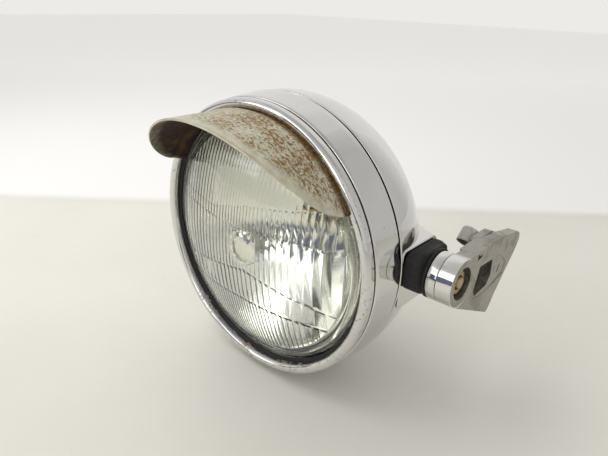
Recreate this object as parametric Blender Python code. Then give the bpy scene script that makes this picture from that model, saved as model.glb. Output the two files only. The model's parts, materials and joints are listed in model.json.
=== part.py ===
"""Motorcycle fog lamp: chrome bowl and band, visor, fluted lens, side pivot and cast bracket arm.

Metres, +Z up, lens facing -Y, pivot axis along X.  The origin is on the bracket's outer
face, level with the pivot axis, on the web between the pivot bore and the fixing window.
Shapes are worked out in millimetres in the frame of their parent empty.
"""

import math

import bmesh
import bpy
from mathutils import Matrix, Vector

MM = 0.001

# Driving dimensions, in millimetres.
BEAD_RADIUS = 66.0        # outside of the rolled bead round the lens
OPENING_RADIUS = 61.5     # clear opening inside the bead
SEAM_RADIUS = 67.7        # band at the seam with the bowl
SEAM_BACK = 18.3          # from the bead's plane back to the seam
SEAM_GAP = 0.6
BOWL_DEPTH = 46.9         # from the seam to the back of the bowl
BOWL_POWER = 2.42         # superellipse exponent of the bowl's section
SHEET = 1.2               # bowl wall
LENS_RADIUS = 57.2
LENS_RIM_RADIUS = 60.7
LENS_CROWN = -13.0        # front of the lens, ahead of the bead's plane
LENS_RIM_FRONT = 4.75
LENS_THICKNESS = 3.0
LENS_INNER_RISE = 16.5
FOCAL_LENGTH = 22.0
REFLECTOR_EDGE = 55.6
REFLECTOR_FRONT = 9.2
REFLECTOR_WALL = 1.2
BULB_HOLE = 9.0
VISOR_REACH = 34.8        # free edge ahead of the bead's plane, at the top
VISOR_HALF_ANGLE = 61.2   # degrees each side of the top
VISOR_SHEET = 0.9
VISOR_FLARE = 0.7         # step outwards just ahead of the bead
PIVOT_BACK = 33.5         # pivot axis behind the bead's plane
PIVOT_REACH = 88.0        # lamp axis to the bracket's outer face
ORIGIN_BACK = 10.5        # origin behind the pivot axis
COLLAR_RADIUS = 10.7
COLLAR_START = 76.7       # rubber lip to collar, from the lamp axis
COLLAR_SEAM = 81.0
BORE_RADIUS = 7.25
BOLT_RADIUS = 3.0
RIM_SCREW_RADIUS = 2.0
SPIGOT_RADIUS = 9.0       # boss of the arm inside the collar ring
LUG_TOP = (74.0, 34.3, 9.1)  # closed end of the lug, from the pivot axis
LUG_AXIS = (-0.05, -0.7, -0.71)
LUG_LENGTH = 7.2
ARM_INNER = 80.0          # inner face of the bracket arm, from the lamp axis
THIN_END_INNER = 83.0
NUT_HEIGHT = 5.0
NUT_FLATS = 10.0
BOSS_FACE = 67.2          # outer face of the chrome boss, from the lamp axis
BOSS_INNER = 55.0
NECK_FRONT = 12.0         # front edge of the bowl's stepped neck
NECK_RADIUS = 64.9
SCREW_BACK = 14.8         # clamp screw behind the bead's plane
GROMMET_PLACE = (0.0, 60.7, -38.0)
GROMMET_AXIS = (0.0, 0.94, -0.342)
CLIP_AXIS = (0.0, 49.0, -13.4)
GAP = 0.3                 # between neighbouring pieces

ROUND_STEPS = 48
SMALL_STEPS = 20

# Colours: red, green, blue, metallic, roughness.
FINISHES = {
    "chrome": (0.74, 0.74, 0.72, 1.0, 0.16),
    "rusty_chrome": (0.56, 0.50, 0.42, 0.8, 0.45),
    "lens_glass": (0.90, 0.92, 0.90, 0.0, 0.08),
    "reflector": (0.82, 0.81, 0.76, 1.0, 0.12),
    "black_rubber": (0.03, 0.03, 0.03, 0.0, 0.75),
    "cast_aluminium": (0.62, 0.61, 0.57, 1.0, 0.38),
    "yellow_zinc": (0.62, 0.53, 0.30, 1.0, 0.35),
    "zinc": (0.60, 0.61, 0.62, 1.0, 0.32),
    "brass": (0.70, 0.56, 0.30, 1.0, 0.30),
    "bulb_glass": (0.92, 0.94, 0.95, 0.0, 0.03),
    "black_plastic": (0.04, 0.04, 0.045, 0.0, 0.5),
    "red_wire": (0.45, 0.05, 0.04, 0.0, 0.5),
    "black_wire": (0.03, 0.03, 0.035, 0.0, 0.5),
}


# ---------------------------------------------------------------- scene and materials


def clear_scene():
    for old in list(bpy.data.objects):
        bpy.data.objects.remove(old, do_unlink=True)


def make_material(name):
    red, green, blue, metallic, roughness = FINISHES[name]
    material = bpy.data.materials.new(name)
    material.use_nodes = True
    shader = material.node_tree.nodes["Principled BSDF"]
    shader.inputs["Base Color"].default_value = (red, green, blue, 1.0)
    shader.inputs["Metallic"].default_value = metallic
    shader.inputs["Roughness"].default_value = roughness
    material.diffuse_color = (red, green, blue, 1.0)
    return material


def make_empty(name, place, parent=None):
    empty = bpy.data.objects.new(name, None)
    empty.location = Vector(place) * MM
    empty.parent = parent
    empty.empty_display_size = 0.02
    bpy.context.scene.collection.objects.link(empty)
    return empty


def add_object(name, mesh_data, finish, parent, smooth_angle=35.0):
    """Link a bmesh in millimetres as one named object in metres."""
    bmesh.ops.recalc_face_normals(mesh_data, faces=mesh_data.faces)
    bmesh.ops.scale(mesh_data, vec=(MM, MM, MM), verts=mesh_data.verts)
    mesh = bpy.data.meshes.new(name)
    mesh_data.to_mesh(mesh)
    mesh_data.free()
    mesh.shade_smooth()
    mesh.set_sharp_from_angle(angle=math.radians(smooth_angle))
    if finish:
        mesh.materials.append(MATERIALS[finish])
    body = bpy.data.objects.new(name, mesh)
    body.parent = parent
    bpy.context.scene.collection.objects.link(body)
    return body


def combine(body, tool, operation):
    """Boolean modifier, with the tool kept as a hidden wire helper."""
    tool.hide_render = True
    tool.display_type = "WIRE"
    modifier = body.modifiers.new(tool.name, "BOOLEAN")
    modifier.operation = operation
    modifier.solver = "EXACT"
    modifier.object = tool


def cut(body, tool):
    combine(body, tool, "DIFFERENCE")


def join(body, tool):
    combine(body, tool, "UNION")


# ---------------------------------------------------------------- shape helpers


def add_ring_faces(mesh_data, first, second):
    """Faces between two rings of the same length; a ring of one vertex is a pole."""
    count = max(len(first), len(second))
    for i in range(count):
        j = (i + 1) % count
        corners = [first[i % len(first)], first[j % len(first)]]
        corners += [second[j % len(second)], second[i % len(second)]]
        unique = list(dict.fromkeys(corners))
        if len(unique) > 2:
            mesh_data.faces.new(unique)


def turned(profile, steps=ROUND_STEPS, closed=True):
    """Revolve (radius, back) points about Y; a profile may start and end on the axis."""
    mesh_data = bmesh.new()
    rings = []
    for radius, back in profile:
        if radius < 1e-6:
            rings.append([mesh_data.verts.new((0.0, back, 0.0))])
            continue
        turns = [2 * math.pi * i / steps for i in range(steps)]
        rings.append(
            [mesh_data.verts.new((radius * math.cos(a), back, radius * math.sin(a))) for a in turns]
        )
    pairs = list(zip(rings, rings[1:]))
    if closed:
        pairs.append((rings[-1], rings[0]))
    for first, second in pairs:
        add_ring_faces(mesh_data, first, second)
    return mesh_data


def rod(profile, axis, steps=SMALL_STEPS):
    """Solid of revolution through its own axis; the profile is (radius, distance along it)."""
    full = [(0.0, profile[0][1])] + list(profile) + [(0.0, profile[-1][1])]
    mesh_data = turned(full, steps, closed=False)
    aim(mesh_data, axis)
    return mesh_data


def tube(inner, outer, start, end, axis, steps=SMALL_STEPS):
    profile = [(inner, start), (outer, start), (outer, end), (inner, end)]
    mesh_data = turned(profile, steps)
    aim(mesh_data, axis)
    return mesh_data


def aim(mesh_data, axis):
    """Turn a shape built along +Y so that it runs along the given axis."""
    turn = Vector((0, 1, 0)).rotation_difference(Vector(axis)).to_matrix()
    bmesh.ops.rotate(mesh_data, cent=(0, 0, 0), matrix=turn, verts=mesh_data.verts)


def move(mesh_data, place):
    bmesh.ops.translate(mesh_data, vec=place, verts=mesh_data.verts)
    return mesh_data


def slab(outline, start, end):
    """Extrude a (y, z) outline along X between two planes."""
    mesh_data = bmesh.new()
    near = [mesh_data.verts.new((start, y, z)) for y, z in outline]
    far = [mesh_data.verts.new((end, y, z)) for y, z in outline]
    mesh_data.faces.new(near)
    mesh_data.faces.new(far)
    add_ring_faces(mesh_data, near, far)
    return mesh_data


def box(low, high):
    mesh_data = bmesh.new()
    size = [b - a for a, b in zip(low, high)]
    middle = [(a + b) / 2 for a, b in zip(low, high)]
    bmesh.ops.create_cube(mesh_data, size=1.0)
    bmesh.ops.scale(mesh_data, vec=size, verts=mesh_data.verts)
    return move(mesh_data, middle)


def rounded_box(low, high, radius, segments=3):
    mesh_data = box(low, high)
    bmesh.ops.bevel(
        mesh_data, geom=mesh_data.edges[:], offset=radius, segments=segments, affect="EDGES", profile=0.5
    )
    return mesh_data


def flared_block(root, face, radius):
    """Block between two upright rectangles, each (x, (y low, y high), (z low, z high)), rounded."""
    block = bmesh.new()
    rings = []
    for x, (front, back), (bottom, top) in (root, face):
        corners = [(front, bottom), (back, bottom), (back, top), (front, top)]
        rings.append([block.verts.new((x, y, z)) for y, z in corners])
        block.faces.new(rings[-1])
    add_ring_faces(block, *rings)
    bmesh.ops.bevel(block, geom=block.edges[:], offset=radius, segments=3, affect="EDGES", profile=0.5)
    return block


def hexagon(flats, start, end):
    """Hexagonal prism along X, with its top corner up."""
    reach = flats / math.sqrt(3)
    outline = [
        (reach * math.sin(math.radians(60 * i)), reach * math.cos(math.radians(60 * i))) for i in range(6)
    ]
    return slab(outline, start, end)


def arc(centre, radius, first, last, steps):
    """Points on an arc in a (y, z) or (radius, back) plane, angles in degrees."""
    angles = [math.radians(first + (last - first) * i / steps) for i in range(steps + 1)]
    return [(centre[0] + radius * math.cos(a), centre[1] + radius * math.sin(a)) for a in angles]


def wire(name, points, radius, finish, parent, resolution=2, between=3):
    """Round wire along a smooth curve through the points, with filled ends."""
    path = [Vector(p) for p in points]
    ends = [2 * path[0] - path[1]] + path + [2 * path[-1] - path[-2]]
    smooth = []
    for a, b, c, d in zip(ends, ends[1:], ends[2:], ends[3:]):
        for i in range(between):
            t = i / between
            smooth.append(
                0.5 * (2 * b + (c - a) * t)
                + 0.5 * ((2 * a - 5 * b + 4 * c - d) * t**2 + (3 * b - a - 3 * c + d) * t**3)
            )
    smooth.append(path[-1])
    curve = bpy.data.curves.new(name, "CURVE")
    curve.dimensions = "3D"
    curve.bevel_depth = radius * MM
    curve.bevel_resolution = resolution
    curve.use_fill_caps = True
    spline = curve.splines.new("POLY")
    spline.points.add(len(smooth) - 1)
    for point, place in zip(spline.points, smooth):
        point.co = (*(place * MM), 1.0)
    curve.materials.append(MATERIALS[finish])
    body = bpy.data.objects.new(name, curve)
    body.parent = parent
    bpy.context.scene.collection.objects.link(body)
    return body


# ---------------------------------------------------------------- bracket


def make_bracket_arm(parent):
    """Cast arm in the plane across the pivot axis: boss, plate, ear and thin end."""
    lower_start = arc((0, 0), COLLAR_RADIUS, 180, 242, 6)
    corner = arc((32.2, -25.3), 2.6, -120, -35, 3)
    outline = lower_start + corner
    outline += [(39.0, -20.6), (55.2, -3.2), (58.4, 1.8), (57.5, 4.9), (54.8, 6.6)]
    outline += [(40.2, 9.3), (28.5, 10.2), (9.0, 9.7)]
    outline += arc((0, 0), COLLAR_RADIUS, 75, 165, 9)
    arm = add_object("bracket_arm", slab(outline, ARM_INNER, PIVOT_REACH), "cast_aluminium", parent)
    thin_end = [(40.0, -30.0), (62.0, -30.0), (62.0, 15.0), (40.0, 15.0)]
    cut(arm, add_object("thin_end_cutter", slab(thin_end, 70.0, THIN_END_INNER), None, parent))
    shoulder = tube(SPIGOT_RADIUS, 14.0, 70.0, COLLAR_SEAM + GAP, (1, 0, 0), ROUND_STEPS)
    cut(arm, add_object("shoulder_cutter", shoulder, None, parent))
    inside = SPIGOT_RADIUS - GAP
    spigot = rod([(inside, COLLAR_START + GAP), (inside, 84.0)], (1, 0, 0), ROUND_STEPS)
    join(arm, add_object("spigot_form", spigot, None, parent))
    ear = [(24.0, -2.0), (40.2, -2.0), (40.2, 8.8), (38.0, 10.2), (24.0, 10.2)]
    join(arm, add_object("ear_form", slab(ear, 78.3, 82.0), None, parent))
    bore = rod([(BORE_RADIUS, 79.6), (BORE_RADIUS, 92.0)], (1, 0, 0), ROUND_STEPS)
    cut(arm, add_object("bore_cutter", bore, None, parent))
    bolt_way = rod([(BOLT_RADIUS + 0.4, 70.0), (BOLT_RADIUS + 0.4, 85.0)], (1, 0, 0))
    cut(arm, add_object("bolt_way_cutter", bolt_way, None, parent))
    window = [(13.9, -9.5), (17.0, 1.4), (30.0, 0.6), (30.7, -7.6), (27.3, -11.8), (16.0, -12.8)]
    cut(arm, add_object("window_cutter", slab(window, 83.0, 92.0), None, parent))
    inner_window = [(16.0, -8.6), (18.0, 0.6), (29.4, -0.2), (30.0, -7.2), (27.0, -9.6)]
    cut(arm, add_object("inner_window_cutter", slab(inner_window, 70.0, 84.0), None, parent))
    slot = [(37.0, -9.2), (38.2, -9.2), (40.2, -5.2), (39.0, -5.2)]
    cut(arm, add_object("slot_cutter", slab(slot, 86.4, 92.0), None, parent))
    return arm


def make_fixing_sleeve(parent):
    """Hollow lug against the inner side of the ear, its open end facing forward and down."""
    sleeve = tube(2.3, 4.2, 0.0, LUG_LENGTH, LUG_AXIS)
    move(sleeve, LUG_TOP)
    return add_object("fixing_sleeve", sleeve, "cast_aluminium", parent)


def make_collar_ring(parent):
    ring = tube(SPIGOT_RADIUS + GAP, COLLAR_RADIUS, COLLAR_START, COLLAR_SEAM, (1, 0, 0), ROUND_STEPS)
    return add_object("collar_ring", ring, "cast_aluminium", parent)


def make_pivot_washer(parent):
    washer = tube(BOLT_RADIUS + 0.35, 6.2, 79.9, 81.0, (1, 0, 0))
    return add_object("pivot_washer", washer, "yellow_zinc", parent)


def make_pivot_nut(parent):
    start = COLLAR_SEAM + GAP
    nut = add_object("pivot_nut", hexagon(NUT_FLATS, start, start + NUT_HEIGHT), "yellow_zinc", parent)
    hole = rod([(BOLT_RADIUS + GAP, 70.0), (BOLT_RADIUS + GAP, 92.0)], (1, 0, 0))
    cut(nut, add_object("nut_hole_cutter", hole, None, parent))
    return nut


# ---------------------------------------------------------------- bowl and pivot side


def bowl_section(radius, depth, steps):
    """Quarter superellipse from the seam to the back, as (radius, back) points."""
    power = 2 / BOWL_POWER
    points = []
    for i in range(steps):
        turn = math.pi / 2 * i / steps
        points.append((radius * math.cos(turn) ** power, depth * math.sin(turn) ** power))
    return points + [(0.0, depth)]


def make_rear_bowl(parent):
    """Pressed bowl with a stepped neck that the band slides over, and the pivot boss."""
    front = SEAM_BACK + SEAM_GAP
    outer = [(r, front + y) for r, y in bowl_section(SEAM_RADIUS - 0.2, BOWL_DEPTH, 8)]
    inner = bowl_section(SEAM_RADIUS - 0.2 - SHEET, BOWL_DEPTH - SHEET, 8)
    inner = [(r, front + y) for r, y in inner]
    inner[0] = (inner[0][0], front + SHEET)
    neck_inside = NECK_RADIUS - SHEET
    profile = [(NECK_RADIUS, NECK_FRONT), (NECK_RADIUS, front)] + outer
    profile += list(reversed(inner)) + [(neck_inside, front + SHEET), (neck_inside, NECK_FRONT)]
    bowl = add_object("rear_bowl", turned(profile), "chrome", parent)
    face = (BOSS_FACE, (19.7, 47.3), (-16.0, 11.5))
    root = (48.0, (19.7, 53.0), (-22.0, 14.0))
    join(bowl, add_object("boss_form", flared_block(root, face, 3.0), None, parent))
    pocket = box((40.0, PIVOT_BACK - 8.5, -8.5), (BOSS_INNER, PIVOT_BACK + 8.5, 8.5))
    cut(bowl, add_object("bolt_pocket_cutter", pocket, None, parent))
    bolt_way = rod([(BOLT_RADIUS + GAP, 40.0), (BOLT_RADIUS + GAP, 80.0)], (1, 0, 0))
    cut(bowl, add_object("boss_hole_cutter", move(bolt_way, (0, PIVOT_BACK, 0)), None, parent))
    notch = box((-2.6, NECK_FRONT - 2.0, -72.0), (2.6, 17.4, -60.0))
    cut(bowl, add_object("screw_notch_cutter", notch, None, parent))
    lead_hole = rod([(4.8, -8.0), (4.8, 8.0)], GROMMET_AXIS)
    cut(bowl, add_object("lead_hole_cutter", move(lead_hole, GROMMET_PLACE), None, parent))
    return bowl


def squared_ring(mesh_data, x, half_width, upper, lower, steps=ROUND_STEPS):
    """Ring across X between a circle and a rounded square; each half is (height, exponent)."""
    ring = []
    for i in range(steps):
        turn = 2 * math.pi * i / steps
        height, power = upper if math.sin(turn) > 0 else lower
        wide, high = abs(math.cos(turn)) / half_width, abs(math.sin(turn)) / height
        reach = (wide**power + high**power) ** (-1 / power)
        ring.append(mesh_data.verts.new((x, reach * math.cos(turn), reach * math.sin(turn))))
    return ring


def make_rubber_block(parent):
    """Damper between boss and collar: squared at the boss, tapering to a round neck and lip."""
    sections = [
        (BOSS_FACE + GAP, 12.9, (10.9, 7.0), (6.8, 4.0)),
        (70.6, 12.9, (10.9, 7.0), (7.2, 3.4)),
        (73.6, 12.4, (10.9, 4.6), (8.2, 2.8)),
        (75.2, 10.8, (10.5, 2.2), (9.2, 2.1)),
        (75.5, 11.4, (11.4, 2.0), (10.3, 2.0)),
        (COLLAR_START - GAP, 11.4, (11.4, 2.0), (10.3, 2.0)),
    ]
    block = bmesh.new()
    rings = [squared_ring(block, *section) for section in sections]
    for first, second in zip(rings, rings[1:]):
        add_ring_faces(block, first, second)
    block.faces.new(rings[0])
    block.faces.new(rings[-1])
    rubber = add_object("rubber_block", block, "black_rubber", parent)
    hole = rod([(BOLT_RADIUS + GAP, 60.0), (BOLT_RADIUS + GAP, 90.0)], (1, 0, 0))
    cut(rubber, add_object("rubber_hole_cutter", hole, None, parent))
    return rubber


def make_pivot_bolt(parent):
    """Hexagon bolt with its head inside the bowl and its end in the bracket bore."""
    bolt = add_object("pivot_bolt", hexagon(NUT_FLATS, 49.0, 53.1), "yellow_zinc", parent)
    shank = rod([(BOLT_RADIUS, 51.0), (BOLT_RADIUS, 86.8), (BOLT_RADIUS - 0.5, 87.3)], (1, 0, 0))
    join(bolt, add_object("bolt_shank_form", shank, None, parent))
    return bolt


def make_inner_washer(parent):
    washer = tube(BOLT_RADIUS + 0.35, 7.5, 53.4, BOSS_INNER - GAP, (1, 0, 0))
    return add_object("inner_washer", washer, "zinc", parent)


def make_wire_grommet(parent):
    """Rubber grommet in the lower back of the bowl; its hole takes the harness."""
    profile = [(2.5, -3.3), (6.4, -3.3), (6.4, -2.0), (4.4, -1.9)]
    profile += [(4.4, 0.5), (6.9, 0.7), (6.4, 2.2), (2.5, 2.4)]
    grommet = turned(profile, SMALL_STEPS)
    aim(grommet, GROMMET_AXIS)
    return add_object("wire_grommet", move(grommet, GROMMET_PLACE), "black_rubber", parent)


def make_harness(parent):
    socket = rounded_box((-15.0, 35.3, -48.0), (-5.0, 43.5, -42.0), 0.8, 1)
    add_object("lead_socket", socket, "black_plastic", parent)
    way = Vector(GROMMET_AXIS)
    place = Vector(GROMMET_PLACE)
    route = [(-10.0, 43.8, -45.0), (-10.0, 46.5, -44.6), (-7.5, 49.3, -40.6), (-3.0, 50.6, -36.2)]
    route += [place - 8.5 * way, place - 5.5 * way, place - 2.5 * way, place + 1.9 * way]
    wire("harness_cable", route, 2.1, "black_wire", parent)


# ---------------------------------------------------------------- front unit


def make_bezel_ring(parent):
    """Rolled bead with a short inner leg and a skirt that sits inside the band."""
    middle = (BEAD_RADIUS + OPENING_RADIUS) / 2
    roll = (BEAD_RADIUS - OPENING_RADIUS) / 2
    outer = arc((middle, 0.2), roll, -180, 0, 6)
    inner = arc((middle, 0.2), roll - 1.1, 0, -180, 3)
    profile = outer + [(BEAD_RADIUS, 2.2), (65.0, 2.8), (65.0, 10.0), (64.4, 10.0), (64.4, 2.2)]
    profile += inner + [(OPENING_RADIUS + 1.1, 1.8), (OPENING_RADIUS, 1.8)]
    return add_object("bezel_ring", turned(profile), "chrome", parent)


def make_front_band(parent):
    profile = [(65.3, 3.3), (66.1, 3.3), (66.5, 4.2), (SEAM_RADIUS, SEAM_BACK)]
    profile += [(SEAM_RADIUS - 1.1, SEAM_BACK), (65.5, 4.6)]
    band = add_object("front_band", turned(profile), "chrome", parent)
    way = RIM_SCREW_RADIUS + GAP
    hole = rod([(way, -72.0), (way, -62.0)], (0, 0, 1))
    cut(band, add_object("band_hole_cutter", move(hole, (0, SCREW_BACK, 0)), None, parent))
    return band


def visor_radius(back):
    """The sheet is flush with the opening at its root and steps out ahead of the bead."""
    step = min(max((-back - 1.5) / 2.5, 0.0), 1.0)
    return OPENING_RADIUS - GAP + VISOR_FLARE * step


def make_visor(parent):
    """Peak rolled to the bead's radius, with an elliptical free edge."""
    mesh_data = bmesh.new()
    columns, rows = 28, (0.0, 0.08, 0.16, 0.32, 0.6, 1.0)
    grid = {}
    for i in range(columns + 1):
        turn = math.pi * i / columns
        angle = math.radians(90 + VISOR_HALF_ANGLE * math.cos(turn))
        edge = -max(VISOR_REACH * math.sin(turn), 1.0)
        for j, part in enumerate(rows):
            back = 1.9 + (edge - 1.9) * part
            for layer, inset in enumerate((0.0, VISOR_SHEET)):
                radius = visor_radius(back) - inset
                place = (radius * math.cos(angle), back, radius * math.sin(angle))
                grid[i, j, layer] = mesh_data.verts.new(place)
    last = len(rows) - 1
    for i in range(columns):
        for j in range(last):
            for layer in (0, 1):
                corners = [(i, j), (i + 1, j), (i + 1, j + 1), (i, j + 1)]
                mesh_data.faces.new([grid[a, b, layer] for a, b in corners])
        for j in (0, last):
            mesh_data.faces.new([grid[i, j, 0], grid[i + 1, j, 0], grid[i + 1, j, 1], grid[i, j, 1]])
    for i in (0, columns):
        for j in range(last):
            mesh_data.faces.new([grid[i, j, 0], grid[i, j + 1, 0], grid[i, j + 1, 1], grid[i, j, 1]])
    return add_object("visor", mesh_data, "rusty_chrome", parent)


def make_lens_gasket(parent):
    profile = [(59.0, 2.2), (64.1, 2.2), (64.1, 9.6), (LENS_RIM_RADIUS + GAP, 9.6)]
    profile += [(LENS_RIM_RADIUS + GAP, 4.4), (58.9, 4.4)]
    return add_object("lens_gasket", turned(profile), "black_rubber", parent)


def dome(edge, crown, rise, steps):
    """Spherical cap from the axis to its edge, as (radius, back) points."""
    sphere = (edge**2 + rise**2) / (2 * rise)
    reach = math.asin(edge / sphere)
    turns = [reach * i / steps for i in range(steps + 1)]
    return [(sphere * math.sin(t), crown + sphere * (1 - math.cos(t))) for t in turns]


def make_lens(parent):
    outer = dome(LENS_RADIUS, LENS_CROWN, LENS_RIM_FRONT - LENS_CROWN, 5)
    inner = dome(LENS_RADIUS - 1.2, LENS_CROWN + LENS_THICKNESS, LENS_INNER_RISE, 5)
    rim = [(LENS_RIM_RADIUS, LENS_RIM_FRONT), (LENS_RIM_RADIUS, 8.4), (LENS_RADIUS - 0.2, 8.4)]
    profile = outer + rim + list(reversed(inner))
    return add_object("lens", turned(profile, closed=False), "lens_glass", parent)


def reflector_back(radius):
    """Inner face of the paraboloid: distance back at a radius."""
    rise = (REFLECTOR_EDGE**2 - radius**2) / (4 * FOCAL_LENGTH)
    return REFLECTOR_FRONT + rise


def make_reflector(parent):
    steps = 6
    radii = [REFLECTOR_EDGE - (REFLECTOR_EDGE - BULB_HOLE) * i / steps for i in range(steps + 1)]
    inner = [(r, reflector_back(r)) for r in radii]
    slopes = [math.hypot(1, r / (2 * FOCAL_LENGTH)) for r in radii]
    outer = [(r, reflector_back(r) + REFLECTOR_WALL * s) for r, s in zip(radii, slopes)]
    rim = [(57.0, 9.9), (LENS_RIM_RADIUS, 9.9), (LENS_RIM_RADIUS, 8.7), (56.4, 8.7)]
    profile = inner + list(reversed(outer)) + rim
    return add_object("reflector", turned(profile), "reflector", parent)


def make_retaining_clips(parent):
    """Four flat springs that hold the glass and reflector against the gasket."""
    for i in range(4):
        clip = rounded_box((-5.0, 10.3, 57.6), (5.0, 11.1, 65.1), 0.25, 1)
        turn = Matrix.Rotation(math.radians(45 + 90 * i), 3, "Y")
        bmesh.ops.rotate(clip, cent=(0, 0, 0), matrix=turn, verts=clip.verts)
        add_object(f"retaining_clip_{i + 1}", clip, "zinc", parent)


def make_bulb_socket(parent):
    profile = [(6.3, 41.0), (8.1, 41.0), (8.1, 44.9), (14.0, 44.9), (14.0, 46.3), (6.3, 46.3)]
    return add_object("bulb_socket", turned(profile, 24), "zinc", parent)


def make_bulb(parent):
    base = [(3.2, 38.0), (6.0, 38.4), (6.0, 46.6), (8.8, 46.6), (8.8, 47.8), (5.0, 47.8), (4.8, 50.6)]
    add_object("bulb_base", rod(base, (0, 1, 0)), "brass", parent)
    tip = arc((0.0, 17.2), 5.5, -72, 0, 4)
    capsule = tip + [(5.5, 34.0), (4.2, 37.7)]
    add_object("bulb_glass", rod(capsule, (0, 1, 0)), "bulb_glass", parent)


def make_bulb_shield(parent):
    """Cup in front of the bulb on two wire legs."""
    cup = [(0.0, -8.0), (7.6, -7.6), (8.75, -6.2), (8.75, 0.5), (7.95, 0.5), (7.95, -5.8)]
    cup += [(7.2, -6.7), (0.0, -7.1)]
    shield = add_object("bulb_shield", turned(cup, 24, closed=False), "reflector", parent)
    for side in (-1, 1):
        leg = rod([(0.8, -3.0), (0.8, 42.7)], (0, 1, 0), 8)
        join(shield, add_object(f"shield_leg_{side}", move(leg, (9.25 * side, 0, 0)), None, parent))
    return shield


def make_clip_fittings(parent):
    """Hinge ears below the bulb and a catch above it, on the back of the socket."""
    base = rounded_box((-8.6, 46.6, -15.4), (8.6, 47.5, -10.6), 0.2, 1)
    hinge = add_object("clip_hinge", base, "zinc", parent)
    for side in (-1, 1):
        near, far = sorted((6.8 * side, 8.4 * side))
        ear = box((near, 47.0, -15.2), (far, 50.9, -11.4))
        join(hinge, add_object(f"hinge_ear_{side}", ear, None, parent))
    hole = rod([(1.15, -12.0), (1.15, 12.0)], (1, 0, 0), 12)
    cut(hinge, add_object("hinge_hole_cutter", move(hole, CLIP_AXIS), None, parent))
    catch = add_object("clip_catch", box((-3.0, 46.6, 11.0), (3.0, 47.5, 16.6)), "zinc", parent)
    hook = box((-3.0, 47.0, 15.4), (3.0, 51.2, 16.4))
    join(catch, add_object("catch_hook_form", hook, None, parent))


def make_bulb_clip(parent):
    """Wire bail over the bulb's flange, in the frame of its own hinge axis."""
    half = [(6.2, 0, 0), (8.0, 0, 0), (10.0, 0, 0.3), (10.3, 0, 2.0), (9.2, 0, 6.0), (7.7, 0, 10.0)]
    half += [(7.7, 0, 17.0), (7.2, 0, 24.6), (5.6, 0, 27.1), (2.8, 0, 27.4)]
    left = [(-x, y, z) for x, y, z in half]
    return wire("bulb_clip", left + list(reversed(half)), 0.8, "zinc", parent, resolution=1, between=2)


def make_connectors(parent):
    body = rounded_box((-6.0, 50.9, -6.0), (6.0, 58.0, 6.0), 1.0, 1)
    add_object("bulb_connector", body, "black_plastic", parent)
    plug = rounded_box((-15.0, 27.0, -48.0), (-5.0, 35.0, -42.0), 0.8, 1)
    add_object("lead_plug", plug, "black_plastic", parent)
    ways = {"feed_lead": (-2.4, -12.2, "red_wire"), "earth_lead": (2.4, -7.8, "black_wire")}
    for name, (start, end, finish) in ways.items():
        route = [(start, 54.5, -6.3), (start, 54.3, -11.0), (start * 0.4 + end * 0.4, 51.2, -20.0)]
        route += [(end * 0.9, 44.5, -29.0), (end, 37.0, -35.6), (end, 32.6, -38.6), (end, 31.4, -41.7)]
        wire(name, route, 1.2, finish, parent)


def make_rim_screw(screw_parent, nut_parent):
    """Screw up through the band, with a square nut inside the bowl's neck."""
    head = [(2.6, -70.0), (3.6, -69.2), (3.6, -68.0)]
    shank = [(RIM_SCREW_RADIUS, -68.0), (RIM_SCREW_RADIUS, -58.6)]
    screw = rod(head + shank, (0, 0, 1), 16)
    body = add_object("rim_screw", screw, "zinc", screw_parent)
    slot = box((-3.8, -0.5, -70.6), (3.8, 0.5, -69.1))
    cut(body, add_object("screw_slot_cutter", slot, None, screw_parent))
    square = box((-3.5, SCREW_BACK - 3.4, -63.1), (3.5, SCREW_BACK + 3.4, -60.4))
    nut = add_object("rim_nut", square, "zinc", nut_parent)
    way = RIM_SCREW_RADIUS + GAP
    hole = move(rod([(way, -70.0), (way, -55.0)], (0, 0, 1), 16), (0, SCREW_BACK, 0))
    cut(nut, add_object("rim_nut_hole_cutter", hole, None, nut_parent))


# ---------------------------------------------------------------- assembly

MATERIALS = {name: make_material(name) for name in FINISHES}


def build():
    """Empties stand on the joint axes; each piece hangs on the one that it moves with."""
    pivot = make_empty("pivot_axis", (-PIVOT_REACH, -ORIGIN_BACK, 0.0))
    lamp = make_empty("lamp_frame", (0.0, -PIVOT_BACK, 0.0), make_empty("tilt_axis", (0, 0, 0), pivot))
    front = make_empty("front_unit_axis", (0.0, 0.0, 0.0), lamp)
    clip = make_empty("clip_axis", CLIP_AXIS, front)
    screw = make_empty("screw_axis", (0.0, SCREW_BACK, 0.0), front)

    make_bracket_arm(pivot)
    make_fixing_sleeve(pivot)
    make_collar_ring(pivot)
    make_pivot_washer(pivot)
    make_pivot_nut(pivot)

    make_rear_bowl(lamp)
    make_wire_grommet(lamp)
    make_harness(lamp)
    tilt = lamp.parent
    make_rubber_block(tilt)
    make_pivot_bolt(tilt)
    make_inner_washer(tilt)

    make_bezel_ring(front)
    make_front_band(front)
    make_visor(front)
    make_lens_gasket(front)
    make_lens(front)
    make_reflector(front)
    make_retaining_clips(front)
    make_bulb_socket(front)
    make_bulb(front)
    make_bulb_shield(front)
    make_clip_fittings(front)
    make_bulb_clip(clip)
    make_connectors(front)
    make_rim_screw(screw, front)


clear_scene()
build()
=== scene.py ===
"""Looks of the fog light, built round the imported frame.

Shapes are worked out in millimetres, either from the lamp's own centre (the middle of the
bead's plane, lens facing -Y) or from the pivot axis, and are put in place in metres.
"""

import json
import math

import bmesh
import bpy
from mathutils import Matrix, Vector, noise


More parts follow.
